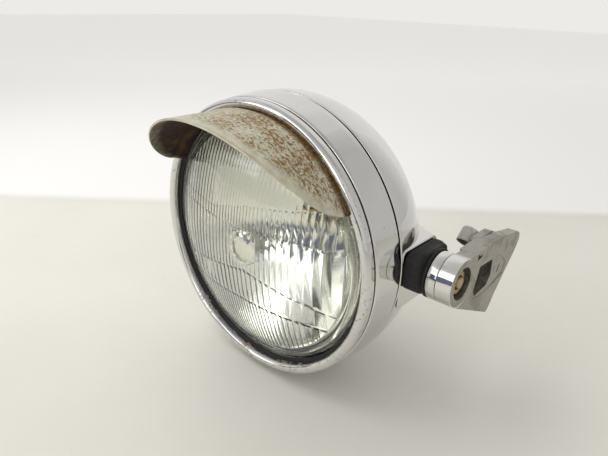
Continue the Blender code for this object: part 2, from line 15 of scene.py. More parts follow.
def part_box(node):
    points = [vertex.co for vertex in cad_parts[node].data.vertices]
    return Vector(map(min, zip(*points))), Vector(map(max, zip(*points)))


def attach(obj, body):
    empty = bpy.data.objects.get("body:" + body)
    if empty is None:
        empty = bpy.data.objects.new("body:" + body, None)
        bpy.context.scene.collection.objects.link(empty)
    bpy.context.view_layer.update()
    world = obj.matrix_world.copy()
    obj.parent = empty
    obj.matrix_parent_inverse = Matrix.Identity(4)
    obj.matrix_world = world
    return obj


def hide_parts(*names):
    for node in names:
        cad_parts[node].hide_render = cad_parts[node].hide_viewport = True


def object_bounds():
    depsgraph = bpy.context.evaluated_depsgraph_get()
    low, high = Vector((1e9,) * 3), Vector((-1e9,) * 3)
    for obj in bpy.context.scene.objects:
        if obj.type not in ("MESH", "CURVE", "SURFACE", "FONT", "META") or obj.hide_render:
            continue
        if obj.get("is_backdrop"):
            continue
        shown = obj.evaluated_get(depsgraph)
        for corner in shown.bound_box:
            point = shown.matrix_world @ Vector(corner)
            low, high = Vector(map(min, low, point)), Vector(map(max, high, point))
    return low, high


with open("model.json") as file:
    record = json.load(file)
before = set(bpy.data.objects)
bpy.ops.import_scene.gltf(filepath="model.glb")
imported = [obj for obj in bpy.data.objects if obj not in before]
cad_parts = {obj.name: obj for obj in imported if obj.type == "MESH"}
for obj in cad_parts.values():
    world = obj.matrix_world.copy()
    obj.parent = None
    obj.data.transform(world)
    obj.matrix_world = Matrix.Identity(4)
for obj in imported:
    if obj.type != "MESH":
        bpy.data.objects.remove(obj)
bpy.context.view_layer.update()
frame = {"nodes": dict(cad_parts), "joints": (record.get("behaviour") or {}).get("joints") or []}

MM = 0.001


# ---------------------------------------------------------------- places read from the frame


def joint_place(name):
    """A hinge's point in the row frame."""
    return Vector(next(j["pos_m"] for j in frame["joints"] if j["name"] == name))


BEZEL_LOW, BEZEL_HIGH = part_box("bezel_ring")
BEAD_RADIUS = (BEZEL_HIGH.x - BEZEL_LOW.x) / 2 / MM
BEAD_REACH = 2.05                        # front of the bead ahead of its plane
LAMP = (BEZEL_LOW + BEZEL_HIGH) / 2
LAMP.y = BEZEL_LOW.y + BEAD_REACH * MM
TILT = joint_place("lamp_tilt")
PIVOT = Vector((LAMP.x, TILT.y, TILT.z))
PIVOT_BACK = (TILT.y - LAMP.y) / MM
SCREW_BACK = (joint_place("rim_screw_turn").y - LAMP.y) / MM

BAND_LOW, BAND_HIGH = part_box("front_band")
SEAM_RADIUS = (BAND_HIGH.x - BAND_LOW.x) / 2 / MM
SEAM_BACK = (BAND_HIGH.y - LAMP.y) / MM
BOWL_LOW, BOWL_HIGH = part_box("rear_bowl")
BOWL_END = (BOWL_HIGH.y - LAMP.y) / MM
NECK_FRONT = (BOWL_LOW.y - LAMP.y) / MM
BOSS_FACE = SEAM_RADIUS - 0.5
VISOR_REACH = (LAMP.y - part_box("visor")[0].y) / MM
LENS_LOW, LENS_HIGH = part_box("lens")
LENS_CROWN = (LENS_LOW.y - LAMP.y) / MM
LENS_RIM_RADIUS = (LENS_HIGH.x - LENS_LOW.x) / 2 / MM
ARM_OUTER = (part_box("bracket_arm")[1].x - LAMP.x) / MM
COLLAR_LOW, COLLAR_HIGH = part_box("collar_ring")
COLLAR_START = (COLLAR_LOW.x - LAMP.x) / MM
COLLAR_SEAM = (COLLAR_HIGH.x - LAMP.x) / MM
COLLAR_RADIUS = (COLLAR_HIGH.z - COLLAR_LOW.z) / 2 / MM

# The camera, from the lamp's centre: degrees and millimetres.
VIEW_AZIMUTH = 41.496
VIEW_ELEVATION = 23.777
VIEW_ROLL = 1.855
CAMERA_FROM_LAMP = Vector((163.998, -151.137, 105.835))
FOCAL_MM = 31.19
SENSOR_MM = 36.0
WALL_FROM_CAMERA = 0.451                 # horizontal distance to the floor's paler part, in metres

# Sizes shared by several pieces, in millimetres.
SEAM_GAP = 1.2
OPENING_RADIUS = 61.5                    # inside of the rolled bead
BEAD_WALL = 0.9
SKIRT_RADIUS = 65.0                      # leg of the bead that tucks inside the band
SKIRT_BACK = 10.0
BAND_WALL = 1.0
DIMPLE_HEIGHT = 12.0                     # dish in the band's edge, beside the pivot boss
DIMPLE_HALF = 4.0
DIMPLE_AHEAD = 4.0
DIMPLE_DEPTH = 0.9
LENS_RADIUS = 59.4
GASKET_RADIUS = 59.55
KNURL_OUTER = 56.4
KNURL_INNER = 54.5
FLUTE_EDGE = 52.6
REFLECTOR_EDGE = 55.6
REFLECTOR_FRONT = 9.2
FOCAL_LENGTH = 22.0
BULB_HOLE = 9.0
VISOR_HALF_ANGLE = 61.2                  # degrees each side of the top
VISOR_SHEET = 0.9
BOWL_POWER = 2.42                        # superellipse exponent of the bowl's section
SHEET = 1.2                              # bowl wall
NECK_RADIUS = 64.9
BOSS_INNER = 55.0
BOSS_DEPTH = 18.5                        # from its face to where the bowl has swallowed it
GROMMET_PLACE = (0.0, 60.7, -38.0)
GROMMET_AXIS = (0.0, 0.94, -0.342)
BOLT_RADIUS = 3.0
CLEARANCE = 0.3                          # round the bolt, and between neighbouring pieces
SCREW_HOLE = 2.3
PIVOT_FLATS = 10.0
BORE_RADIUS = 7.25
SPIGOT_RADIUS = 9.0                      # boss of the arm inside the collar
ARM_INNER = 80.0
THIN_END_INNER = 83.0
LUG_TOP = (74.0, 34.3, 9.1)              # closed end of the lug, from the pivot
LUG_AXIS = (-0.05, -0.7, -0.71)
LUG_LENGTH = 7.2


# ---------------------------------------------------------------- mesh helpers


def arc(centre, radius, first, last, steps):
    """Points on an arc in a plane, angles in degrees."""
    angles = [math.radians(first + (last - first) * i / steps) for i in range(steps + 1)]
    return [(centre[0] + radius * math.cos(a), centre[1] + radius * math.sin(a)) for a in angles]


def rounded(corners, closed=True, steps=5):
    """Outline through (a, b, radius) corners, each rounded by an arc of its radius."""
    points = []
    count = len(corners)
    for i, (a, b, radius) in enumerate(corners):
        here = Vector((a, b))
        if radius <= 0 or (not closed and i in (0, count - 1)):
            points.append((a, b))
            continue
        before = (Vector(corners[i - 1][:2]) - here).normalized()
        after = (Vector(corners[(i + 1) % count][:2]) - here).normalized()
        half = before.angle(after) / 2
        if half > math.radians(88):
            points.append((a, b))
            continue
        reach = radius / math.tan(half)
        centre = here + (before + after).normalized() * (radius / math.sin(half))
        start, end = here + before * reach - centre, here + after * reach - centre
        turn = start.angle_signed(end)
        for k in range(steps + 1):
            angle = -turn * k / steps
            spun = Matrix.Rotation(angle, 2) @ start
            points.append(tuple(centre + spun))
    return points


def lathe(profile, steps=192, closed=True):
    """Revolve (radius, back) points about the lamp's axis; a radius of 0 is a pole."""
    points, rings, faces = [], [], []
    turns = [2 * math.pi * i / steps for i in range(steps)]
    for radius, back in profile:
        start = len(points)
        if radius < 1e-6:
            points.append((0.0, back, 0.0))
            rings.append([start])
        else:
            points += [(radius * math.cos(t), back, radius * math.sin(t)) for t in turns]
            rings.append(list(range(start, start + steps)))
    pairs = list(zip(rings, rings[1:]))
    if closed:
        pairs.append((rings[-1], rings[0]))
    for first, second in pairs:
        faces += strip(first, second)
    return points, faces


def strip(first, second, wrap=True):
    """Faces between two rows of vertices; a row of one vertex is a pole."""
    faces = []
    count = max(len(first), len(second))
    for i in range(count if wrap else count - 1):
        j = (i + 1) % count
        corners = [first[i % len(first)], first[j % len(first)]]
        corners += [second[j % len(second)], second[i % len(second)]]
        unique = list(dict.fromkeys(corners))
        if len(unique) > 2:
            faces.append(unique)
    return faces


def lofted(rings, capped=True):
    """Skin over rings of equal length, with flat caps."""
    count = len(rings[0])
    points = [p for ring in rings for p in ring]
    rows = [list(range(i * count, (i + 1) * count)) for i in range(len(rings))]
    faces = [face for first, second in zip(rows, rows[1:]) for face in strip(first, second)]
    if capped:
        faces += [rows[0][::-1], rows[-1]]
    return points, faces


def prism(outline, start, end):
    """Extrude a (y, z) outline along X between two planes."""
    return lofted([[(x, y, z) for y, z in outline] for x in (start, end)])


def box(low, high):
    outline = [(low[1], low[2]), (high[1], low[2]), (high[1], high[2]), (low[1], high[2])]
    return prism(outline, low[0], high[0])


def hexagon(flats):
    """Outline of a hexagon with its top corner up."""
    reach = flats / math.sqrt(3)
    turns = [math.pi / 3 * i for i in range(6)]
    return [(reach * math.sin(t), reach * math.cos(t)) for t in turns]


def turned_to(shape, axis, place=(0, 0, 0)):
    """Turn a shape built along +Y so that it runs along the axis, and move it."""
    spin = Vector((0, 1, 0)).rotation_difference(Vector(axis)).to_matrix()
    points, faces = shape
    return [tuple(spin @ Vector(p) + Vector(place)) for p in points], faces


def rod(profile, axis, place=(0, 0, 0), steps=64):
    """Solid of revolution through its own axis; the profile is (radius, distance along it)."""
    full = [(0.0, profile[0][1])] + list(profile) + [(0.0, profile[-1][1])]
    return turned_to(lathe(full, steps, closed=False), axis, place)


def bar(radius, start, end, axis=(1, 0, 0), place=(0, 0, 0), steps=48):
    """Plain round bar, most often the cutter of a hole."""
    return rod([(radius, start), (radius, end)], axis, place, steps)


def washer(inner, outer, start, end):
    ease = 0.25
    corners = [(inner, start, ease), (outer, start, ease), (outer, end, ease), (inner, end, ease)]
    return turned_to(lathe(rounded(corners, steps=3), 64), (1, 0, 0))


# ---------------------------------------------------------------- objects


def new_object(name, shape, origin):
    """Object in the row frame, from points in millimetres about an origin."""
    points, faces = shape
    mesh = bpy.data.meshes.new(name)
    mesh.from_pydata([tuple(Vector(p) * MM + origin) for p in points], [], faces)
    work = bmesh.new()
    work.from_mesh(mesh)
    bmesh.ops.recalc_face_normals(work, faces=work.faces)
    work.to_mesh(mesh)
    work.free()
    made = bpy.data.objects.new(name, mesh)
    bpy.context.scene.collection.objects.link(made)
    return made


def apply_modifiers(made):
    bpy.context.view_layer.update()
    graph = bpy.context.evaluated_depsgraph_get()
    finished = bpy.data.meshes.new_from_object(made.evaluated_get(graph))
    old = made.data
    made.modifiers.clear()
    made.data = finished
    bpy.data.meshes.remove(old)


def carve(made, shape, origin=None, operation="DIFFERENCE", solver="EXACT"):
    """Boolean with a shape, or an object, that is thrown away afterwards."""
    tool = shape if origin is None else new_object("carving_tool", shape, origin)
    modifier = made.modifiers.new("carve", "BOOLEAN")
    modifier.operation = operation
    modifier.solver = solver
    modifier.object = tool
    apply_modifiers(made)
    mesh = tool.data
    bpy.data.objects.remove(tool, do_unlink=True)
    bpy.data.meshes.remove(mesh)


def soften(made, width, segments=2, angle=32.0):
    """Round the sharp edges that the piece has."""
    modifier = made.modifiers.new("soften", "BEVEL")
    modifier.width = width * MM
    modifier.segments = segments
    modifier.limit_method = "ANGLE"
    modifier.angle_limit = math.radians(angle)
    modifier.miter_outer = "MITER_ARC"
    modifier.use_clamp_overlap = True
    apply_modifiers(made)


def finish_piece(made, body, material, replaced, smooth_angle=35.0):
    """Smooth shading, material, body and replaced CAD nodes."""
    made.data.shade_smooth()
    made.data.set_sharp_from_angle(angle=math.radians(smooth_angle))
    made.data.materials.clear()
    made.data.materials.append(material)
    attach(made, body)
    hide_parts(*replaced)
    return made


def second_material(made, material, chosen):
    """Another material on the faces that a test of (centre, normal) picks, in lamp millimetres."""
    made.data.materials.append(material)
    index = len(made.data.materials) - 1
    for face in made.data.polygons:
        if chosen((face.center - LAMP) / MM, face.normal):
            face.material_index = index


def make_piece(name, shape, origin, body, material, replaced, smooth_angle=35.0):
    made = new_object(name, shape, origin)
    return finish_piece(made, body, material, replaced, smooth_angle)


# ---------------------------------------------------------------- material helpers


class Nodes:
    """A node tree with short ways to add textures to it."""

    def __init__(self, tree, place):
        self.tree = tree
        self.place = self.add("ShaderNodeTexCoord").outputs[place]

    def add(self, kind, inputs=None, **settings):
        made = self.tree.nodes.new(kind)
        for key, value in settings.items():
            setattr(made, key, value)
        for socket, value in (inputs or {}).items():
            if isinstance(value, bpy.types.NodeSocket):
                self.tree.links.new(value, made.inputs[socket])
            else:
                made.inputs[socket].default_value = value
        return made

    def stretched(self, scale, place=None):
        inputs = {"Vector": place or self.place, "Scale": scale}
        return self.add("ShaderNodeMapping", inputs).outputs["Vector"]

    def noise(self, scale, detail=3.0, rough=0.5, place=None):
        inputs = {"Vector": place or self.place, "Scale": scale}
        inputs.update({"Detail": detail, "Roughness": rough})
        return self.add("ShaderNodeTexNoise", inputs).outputs["Fac"]

    def cells(self, scale):
        """Distance from the nearest of scattered points."""
        inputs = {"Vector": self.place, "Scale": scale}
        return self.add("ShaderNodeTexVoronoi", inputs).outputs["Distance"]

    def map(self, value, low, high, to_low=0.0, to_high=1.0):
        inputs = {"Value": value, "From Min": low, "From Max": high}
        inputs.update({"To Min": to_low, "To Max": to_high})
        return self.add("ShaderNodeMapRange", inputs, clamp=True).outputs["Result"]

    def within(self, value, low, high, soft):
        """1 between two values, falling to 0 outside them."""
        rise = self.map(value, low - soft, low)
        return self.math("MULTIPLY", rise, self.map(value, high + soft, high))

    def math(self, operation, first, second=0.0):
        made = self.add("ShaderNodeMath", {0: first, 1: second}, operation=operation)
        return made.outputs["Value"]

    def times(self, *values):
        product = values[0]
        for value in values[1:]:
            product = self.math("MULTIPLY", product, value)
        return product

    def mix(self, factor, first, second):
        inputs = {"Fac": factor, "Color1": first, "Color2": second}
        return self.add("ShaderNodeMixRGB", inputs).outputs["Color"]

    def ramp(self, value, stops):
        made = self.add("ShaderNodeValToRGB", {"Fac": value})
        steps = made.color_ramp.elements
        while len(steps) < len(stops):
            steps.new(0.5)
        for step, (position, colour) in zip(steps, stops):
            step.position = position
            step.color = (*colour, 1.0)
        return made.outputs["Color"]

    def axes(self, place=None):
        return self.add("ShaderNodeSeparateXYZ", {0: place or self.place}).outputs


class Paint(Nodes):
    """A material with short ways to feed its shader."""

    def __init__(self, name):
        self.material = bpy.data.materials.new(name)
        self.material.use_nodes = True
        self.shader = self.material.node_tree.nodes["Principled BSDF"]
        super().__init__(self.material.node_tree, "Object")

    def set(self, **sockets):
        """Constant or linked sockets of the shader; underscores stand for spaces."""
        for key, value in sockets.items():
            socket = self.shader.inputs[key.replace("_", " ")]
            if isinstance(value, bpy.types.NodeSocket):
                self.tree.links.new(value, socket)
            else:
                socket.default_value = value

    def uv(self, name):
        return self.add("ShaderNodeUVMap", uv_map=name).outputs["UV"]

    def bump(self, height, strength, distance, before=None):
        inputs = {"Height": height, "Strength": strength, "Distance": distance}
        if before is not None:
            inputs["Normal"] = before
        normal = self.add("ShaderNodeBump", inputs).outputs["Normal"]
        self.tree.links.new(normal, self.shader.inputs["Normal"])
        return normal


def grey(level, warm=0.0):
    return (level + warm * 0.5, level, level - warm)


def rgba(colour):
    return (*colour, 1.0)


def shades(colour, dark, light):
    """Stops of a ramp between two strengths of a colour."""
    return [(place, tuple(c * k for c in colour)) for place, k in ((0.3, dark), (0.7, light))]


# ---------------------------------------------------------------- materials


def chrome_material(name, rust=0.0):
    """Polished chrome with faint haze and pits; rust adds dark specks, and stains low down."""
    paint = Paint(name)
    haze = paint.noise(55.0, 4.0, 0.6)
    colour = paint.ramp(haze, [(0.25, grey(0.68, 0.012)), (0.75, grey(0.75, 0.012))])
    pits = paint.cells(420.0)
    gate = paint.map(paint.noise(28.0, 2.0), 0.52, 0.68)
    spot = paint.times(paint.map(pits, 0.16, 0.07), gate)
    colour = paint.mix(spot, colour, rgba((0.20, 0.18, 0.15)))
    rough = paint.map(haze, 0.3, 0.75, 0.04, 0.11)
    metal = 1.0
    if rust:
        specks = paint.map(paint.noise(620.0, 3.0, 0.7), 0.60, 0.68)
        specks = paint.times(specks, paint.map(paint.noise(45.0, 2.0), 0.40, 0.56, 0.15, 0.8))
        colour = paint.mix(specks, colour, rgba((0.16, 0.15, 0.13)))
        low = paint.map(paint.axes()["Z"], -0.030, -0.060)
        grains = paint.noise(300.0, 4.0, 0.65)
        where = paint.map(paint.noise(75.0, 2.0), 0.50, 0.64)
        mark = paint.times(where, low, paint.map(grains, 0.52, 0.60), rust)
        stain = paint.ramp(grains, [(0.5, (0.40, 0.31, 0.12)), (0.66, (0.20, 0.12, 0.04))])
        colour = paint.mix(mark, colour, stain)
        rough = paint.math("ADD", rough, paint.times(mark, 0.6))
        metal = paint.map(mark, 0.0, 1.0, 1.0, 0.1)
    paint.set(Base_Color=colour, Roughness=rough, Metallic=metal)
    waves = paint.bump(paint.noise(38.0, 1.0), 0.05, 0.0006)
    paint.bump(paint.times(spot, -1.0), 0.25, 0.0001, waves)
    return paint.material


def visor_material():
    """Worn chrome, freckled with rust along the sheet's rolling direction."""
    paint = Paint("visor_worn_chrome")
    sheet = paint.uv("sheet")
    edge = paint.axes(paint.uv("edge"))
    along = paint.stretched((0.75, 1.0, 1.0), sheet)
    freckles = paint.noise(0.72, 6.0, 0.80, along)
    fine = paint.noise(1.7, 4.0, 0.7, along)
    patches = paint.noise(0.060, 3.0, 0.55, sheet)
    side = paint.map(paint.axes(sheet)["X"], 118.0, 78.0)
    clean_edge = paint.times(paint.map(edge["X"], 2.2, 7.5), paint.map(side, 0.0, 1.0, 0.35, 1.0))
    level = paint.map(patches, 0.34, 0.62, 0.560, 0.448)
    over = paint.math("SUBTRACT", freckles, level)
    mark = paint.times(paint.map(over, -0.006, 0.030), clean_edge)
    small = paint.times(paint.map(fine, 0.56, 0.63), paint.map(edge["X"], 1.0, 8.0, 0.12, 0.7))
    mark = paint.math("MAXIMUM", mark, small)
    broken = paint.map(paint.noise(0.4, 3.0, 0.6, sheet), 0.36, 0.50)
    rooted = paint.times(paint.map(edge["Y"], 4.4, 3.4), broken)
    rooted = paint.times(rooted, paint.map(side, 0.1, 0.9, 0.3, 1.0))
    mark = paint.math("MAXIMUM", mark, rooted)
    tone = paint.noise(0.55, 4.0, 0.62, paint.stretched((0.7, 1.0, 1.0), sheet))
    stain = paint.ramp(
        tone,
        [
            (0.34, (0.27, 0.200, 0.060)),
            (0.45, (0.25, 0.135, 0.022)),
            (0.53, (0.19, 0.075, 0.009)),
            (0.64, (0.035, 0.020, 0.008)),
        ],
    )
    haze = paint.noise(0.25, 4.0, 0.6, along)
    metal = paint.ramp(haze, [(0.3, (0.53, 0.505, 0.375)), (0.7, (0.72, 0.70, 0.56))])
    paint.set(Base_Color=paint.mix(paint.times(mark, 0.96), metal, stain))
    paint.set(Metallic=paint.map(mark, 0.0, 1.0, 0.85, 0.0))
    paint.set(Roughness=paint.map(mark, 0.0, 1.0, 0.34, 0.85))
    paint.bump(mark, 0.4, 0.00012, paint.bump(haze, 0.12, 0.0002))
    return paint.material


def rust_material():
    """Underside of the visor: dark brown rust, greener towards the edge."""
    paint = Paint("visor_underside_rust")
    grain = paint.noise(420.0, 4.0, 0.65)
    broad = paint.noise(70.0, 3.0, 0.6)
    edge = paint.axes(paint.uv("edge"))
    rim = paint.map(paint.math("ADD", edge["X"], paint.times(broad, 7.0)), 9.5, 4.0)
    dark = paint.ramp(grain, [(0.35, (0.022, 0.011, 0.007)), (0.65, (0.060, 0.028, 0.015))])
    dark = paint.mix(paint.map(broad, 0.56, 0.72), dark, rgba((0.10, 0.050, 0.020)))
    pale = paint.ramp(grain, [(0.35, (0.12, 0.10, 0.055)), (0.7, (0.34, 0.33, 0.26))])
    paint.set(Base_Color=paint.mix(rim, dark, pale), Roughness=0.9, Metallic=0.0)
    paint.bump(grain, 0.5, 0.0002)
    return paint.material


def glass_material(name, tint, rough_high=0.03):
    paint = Paint(name)
    film = paint.noise(45.0, 4.0, 0.6)
    paint.set(Base_Color=rgba(tint), Transmission_Weight=1.0, IOR=1.5)
    paint.set(Roughness=paint.map(film, 0.45, 0.8, 0.0, rough_high))
    return paint.material


def reflector_material():
    """Metallised bowl, slightly yellowed, with faint dust."""
    paint = Paint("reflector_mirror")
    dust = paint.noise(60.0, 4.0, 0.65)
    colour = paint.ramp(dust, [(0.3, (0.86, 0.855, 0.80)), (0.75, (0.80, 0.79, 0.71))])
    paint.set(Base_Color=colour, Metallic=1.0, Roughness=paint.map(dust, 0.3, 0.8, 0.05, 0.16))
    paint.bump(paint.noise(30.0, 1.0), 0.08, 0.0008)
    return paint.material


def rubber_material(name, dusty=0.05):
    paint = Paint(name)
    grain = paint.noise(650.0, 3.0, 0.6)
    dust = paint.noise(90.0, 4.0, 0.65)
    up = paint.axes(paint.add("ShaderNodeNewGeometry").outputs["Normal"])["Z"]
    film = paint.times(paint.map(dust, 0.42, 0.70), paint.map(up, 0.1, 1.0, 0.15, 1.0))
    dark = paint.ramp(grain, [(0.3, (0.008, 0.008, 0.009)), (0.7, (0.020, 0.019, 0.019))])
    paint.set(Base_Color=paint.mix(paint.times(film, dusty), dark, rgba((0.14, 0.13, 0.11))))
    paint.set(Roughness=paint.map(film, 0.0, 1.0, 0.5, 0.85), Metallic=0.0, Specular_IOR_Level=0.3)
    paint.bump(grain, 0.25, 0.0001)
    return paint.material


def cast_material(name, rough=0.30, dull=0.0):
    """Satin cast aluminium with mottled rough patches and pits, polished round the pivot boss.

    A dull of 1 gives the paler, rougher skin of an unmachined casting.
    """
    paint = Paint(name)
    grain = paint.noise(900.0, 4.0, 0.6)
    mottle = paint.noise(150.0, 4.0, 0.65)
    broad = paint.noise(38.0, 2.0)
    spread = paint.math("ADD", mottle, paint.times(broad, 0.5))
    patch = paint.map(spread, 0.76 - 0.2 * dull, 0.88 - 0.2 * dull)
    light, shade = 0.40 + 0.36 * dull, 0.30 + 0.28 * dull
    colour = paint.ramp(mottle, [(0.3, grey(shade, 0.035)), (0.7, grey(light, 0.035))])
    stained = rgba((0.27, 0.26, 0.225))
    colour = paint.mix(paint.times(patch, 0.5 - 0.2 * dull), colour, stained)
    pits = paint.cells(520.0)
    hole = paint.times(paint.map(pits, 0.22, 0.08), paint.map(broad, 0.48, 0.62))
    colour = paint.mix(paint.times(hole, 0.7), colour, rgba((0.08, 0.07, 0.06)))
    ends = {0: paint.place, 1: PIVOT}
    from_pivot = paint.add("ShaderNodeVectorMath", ends, operation="SUBTRACT").outputs[0]
    axes = paint.axes(from_pivot)
    flat = paint.add("ShaderNodeCombineXYZ", {"Y": axes["Y"], "Z": axes["Z"]}).outputs[0]
    reach = paint.add("ShaderNodeVectorMath", {0: flat}, operation="LENGTH").outputs["Value"]
    polish = paint.within(reach, (COLLAR_RADIUS - 0.25) * MM, (COLLAR_RADIUS + 0.1) * MM, 0.25 * MM)
    polish = paint.times(polish, paint.map(axes["Y"], 7.0 * MM, 0.0))
    colour = paint.mix(polish, colour, rgba((0.74, 0.735, 0.71)))
    worn = paint.map(grain, 0.3, 0.7, rough, rough + 0.12)
    worn = paint.math("ADD", worn, paint.times(patch, 0.2))
    paint.set(Base_Color=colour, Metallic=0.92, Roughness=paint.map(polish, 0.0, 1.0, worn, 0.06))
    strength = paint.map(polish, 0.0, 1.0, 0.2 + 0.4 * dull, 0.0)
    normal = paint.bump(grain, strength, 0.00008)
    strength = paint.map(polish, 0.0, 1.0, 0.4 + 0.5 * dull, 0.02)
    paint.bump(paint.math("SUBTRACT", patch, hole), strength, 0.00012, normal)
    return paint.material


def grime_and_shade_material(name, low, high, rough=0.6):
    """Dull dark metal for recesses and hidden faces: partly old dirt, partly painted shade where
    shade falls in them.
    """
    paint = Paint(name)
    dirt = paint.noise(320.0, 4.0, 0.7)
    paint.set(Base_Color=paint.ramp(dirt, [(0.35, low), (0.7, high)]), Metallic=0.4)
    paint.set(Roughness=paint.map(dirt, 0.3, 0.7, rough - 0.1, rough + 0.25))
    paint.bump(dirt, 0.5, 0.0002)
    return paint.material


def turned_material(name, colour, rough):
    """Polished turned metal, with faint lines across X."""
    paint = Paint(name)
    grooves = paint.noise(2600.0, 2.0, 0.6, paint.stretched((1.0, 0.02, 0.02)))
    marks = paint.noise(120.0, 4.0, 0.6)
    paint.set(Base_Color=paint.ramp(marks, shades(colour, 0.86, 1.06)), Metallic=1.0)
    paint.set(Roughness=paint.map(marks, 0.35, 0.75, rough, rough + 0.14))
    paint.bump(grooves, 0.08, 0.00005)
    return paint.material


def plated_material(name, colour, rough, amount=0.35):
    """Zinc or brass hardware with dull spots."""
    paint = Paint(name)
    cloud = paint.noise(260.0, 4.0, 0.65)
    plain = paint.ramp(cloud, shades(colour, 0.8, 1.08))
    spots = paint.times(paint.map(paint.noise(480.0, 3.0, 0.6), 0.58, 0.70), amount)
    paint.set(Base_Color=paint.mix(spots, plain, rgba((0.20, 0.13, 0.06))), Metallic=1.0)
    paint.set(Roughness=paint.map(cloud, 0.3, 0.75, rough, rough + 0.2))
    paint.bump(cloud, 0.15, 0.00006)
    return paint.material


def plastic_material(name, colour, rough=0.45):
    paint = Paint(name)
    speck = paint.noise(900.0, 3.0, 0.6)
    paint.set(Base_Color=paint.ramp(speck, shades(colour, 0.8, 1.25)))
    paint.set(Roughness=paint.map(speck, 0.3, 0.7, rough - 0.08, rough + 0.12))
    paint.bump(speck, 0.12, 0.00005)
    return paint.material


def floor_material():
    """Pale floor, paler beyond a soft line behind the lamp, with a painted shadow along that line, a
    painted glow beyond it, and a few scuffs and specks.
    """
    paint = Paint("studio_floor")
    axes = paint.axes()
    azimuth = math.radians(VIEW_AZIMUTH)
    across, along = -math.sin(azimuth), math.cos(azimuth)
    ahead = paint.math("ADD", paint.times(axes["X"], across), paint.times(axes["Y"], along))
    camera = LAMP + CAMERA_FROM_LAMP * MM
    line = across * camera.x + along * camera.y + WALL_FROM_CAMERA
    beyond = paint.map(ahead, line - 0.006, line + 0.010)
    # Painted shadow: a thin darker band along the line where the floor's paler part begins.
    shade = paint.within(ahead, line - 0.004, line + 0.002, 0.012)
    cloud = paint.noise(9.0, 4.0, 0.6)
    plain = paint.ramp(cloud, [(0.3, (0.685, 0.672, 0.60)), (0.7, (0.725, 0.712, 0.645))])
    scuff = paint.map(paint.noise(48.0, 5.0, 0.75), 0.64, 0.74, 0.0, 0.3)
    where = paint.map(paint.noise(14.0), 0.5, 0.6)
    fleck = paint.times(paint.map(paint.cells(26.0), 0.035, 0.02), where)
    plain = paint.mix(scuff, plain, rgba((0.55, 0.54, 0.50)))
    plain = paint.mix(paint.times(fleck, 0.7), plain, rgba((0.12, 0.11, 0.10)))
    plain = paint.mix(paint.times(shade, 0.10), plain, rgba((0.4, 0.4, 0.4)))
    wall = rgba((0.80, 0.795, 0.775))
    # Painted light: the paler part glows, more strongly further off, the way a lit wall would look.
    painted_glow = paint.times(beyond, paint.map(ahead, line, line + 0.9, 0.04, 0.22))
    paint.set(Base_Color=paint.mix(beyond, plain, wall), Roughness=0.6)
    paint.set(Emission_Color=wall, Emission_Strength=painted_glow)
    paint.bump(paint.noise(260.0, 3.0, 0.6), 0.12, 0.0004)
    return paint.material


CHROME = chrome_material("band_chrome")
BEAD_CHROME = chrome_material("bead_chrome", rust=0.8)
BOWL_CHROME = chrome_material("bowl_chrome")
VISOR_METAL = visor_material()
VISOR_RUST = rust_material()
LENS_GLASS = glass_material("lens_glass", (0.975, 0.985, 0.965))
MIRROR = reflector_material()
RUBBER = rubber_material("damper_rubber")
GASKET = rubber_material("gasket_rubber", 0.15)
CAST = cast_material("cast_aluminium")
ROUGH_CAST = cast_material("rough_cast", 0.45, 1.0)
# Recesses of the arm and the lug: old dirt, and painted shade darkening their walls.
GRIME_AND_SHADE = grime_and_shade_material("old_dirt_and_painted_shade", (0.055, 0.052, 0.040), (0.24, 0.23, 0.19))
# Unplated steel inside the shell and band; on the neck and the band's rolled edge, seen through the
# seam, its darkness is painted shade.
DULL_STEEL_AND_SHADE = grime_and_shade_material("dull_steel_and_painted_shade", (0.10, 0.10, 0.095), (0.26, 0.26, 0.25), 0.45)
PUTTY = plastic_material("sealing_putty", (0.40, 0.395, 0.34), 0.7)
COLLAR_METAL = turned_material("polished_collar", (0.76, 0.755, 0.73), 0.05)
GOLD_ZINC = plated_material("yellow_zinc", (0.52, 0.42, 0.22), 0.36)
STEEL = plated_material("bright_zinc", (0.62, 0.63, 0.64), 0.28, amount=0.2)
SPRING = plated_material("spring_steel", (0.55, 0.55, 0.54), 0.25, amount=0.15)
BRASS = plated_material("bulb_brass", (0.72, 0.55, 0.28), 0.25, amount=0.2)
BULB_GLASS = glass_material("bulb_quartz", (0.97, 0.98, 0.98), 0.01)
PLASTIC = plastic_material("connector_plastic", (0.030, 0.030, 0.033))
RED_LEAD = plastic_material("red_lead", (0.40, 0.035, 0.025), 0.4)
BLACK_LEAD = plastic_material("black_lead", (0.022, 0.022, 0.024), 0.4)


# ---------------------------------------------------------------- front unit


def make_bezel():
    """Rolled bead with its inner leg, and the skirt that tucks inside the band."""
    middle = (BEAD_RADIUS + OPENING_RADIUS) / 2
    roll = (BEAD_RADIUS - OPENING_RADIUS) / 2
    outer = arc((middle, 0.2), roll, -180, 0, 28)
    inner = arc((middle, 0.2), roll - BEAD_WALL, 0, -180, 20)
    step = [
        (BEAD_RADIUS, 0.3, 0), (BEAD_RADIUS, 2.5, 0.5),
        (SKIRT_RADIUS, 2.9, 0.4), (SKIRT_RADIUS, SKIRT_BACK, 0.2),
    ]
    back = [
        (SKIRT_RADIUS, SKIRT_BACK, 0.2), (SKIRT_RADIUS - 0.6, SKIRT_BACK, 0.2),
        (SKIRT_RADIUS - 0.6, 1.8, 0.2), (middle + roll - BEAD_WALL, 1.4, 0),
    ]
    profile = outer + rounded(step, False, 4)[1:] + rounded(back, False, 4)[1:] + inner
    profile += [(OPENING_RADIUS + BEAD_WALL, 1.8), (OPENING_RADIUS, 1.8)]
    shape = lathe(profile, 256)
    return make_piece(
        "bezel_bead", shape, LAMP, "front_unit", BEAD_CHROME, ["bezel_ring"]
    )


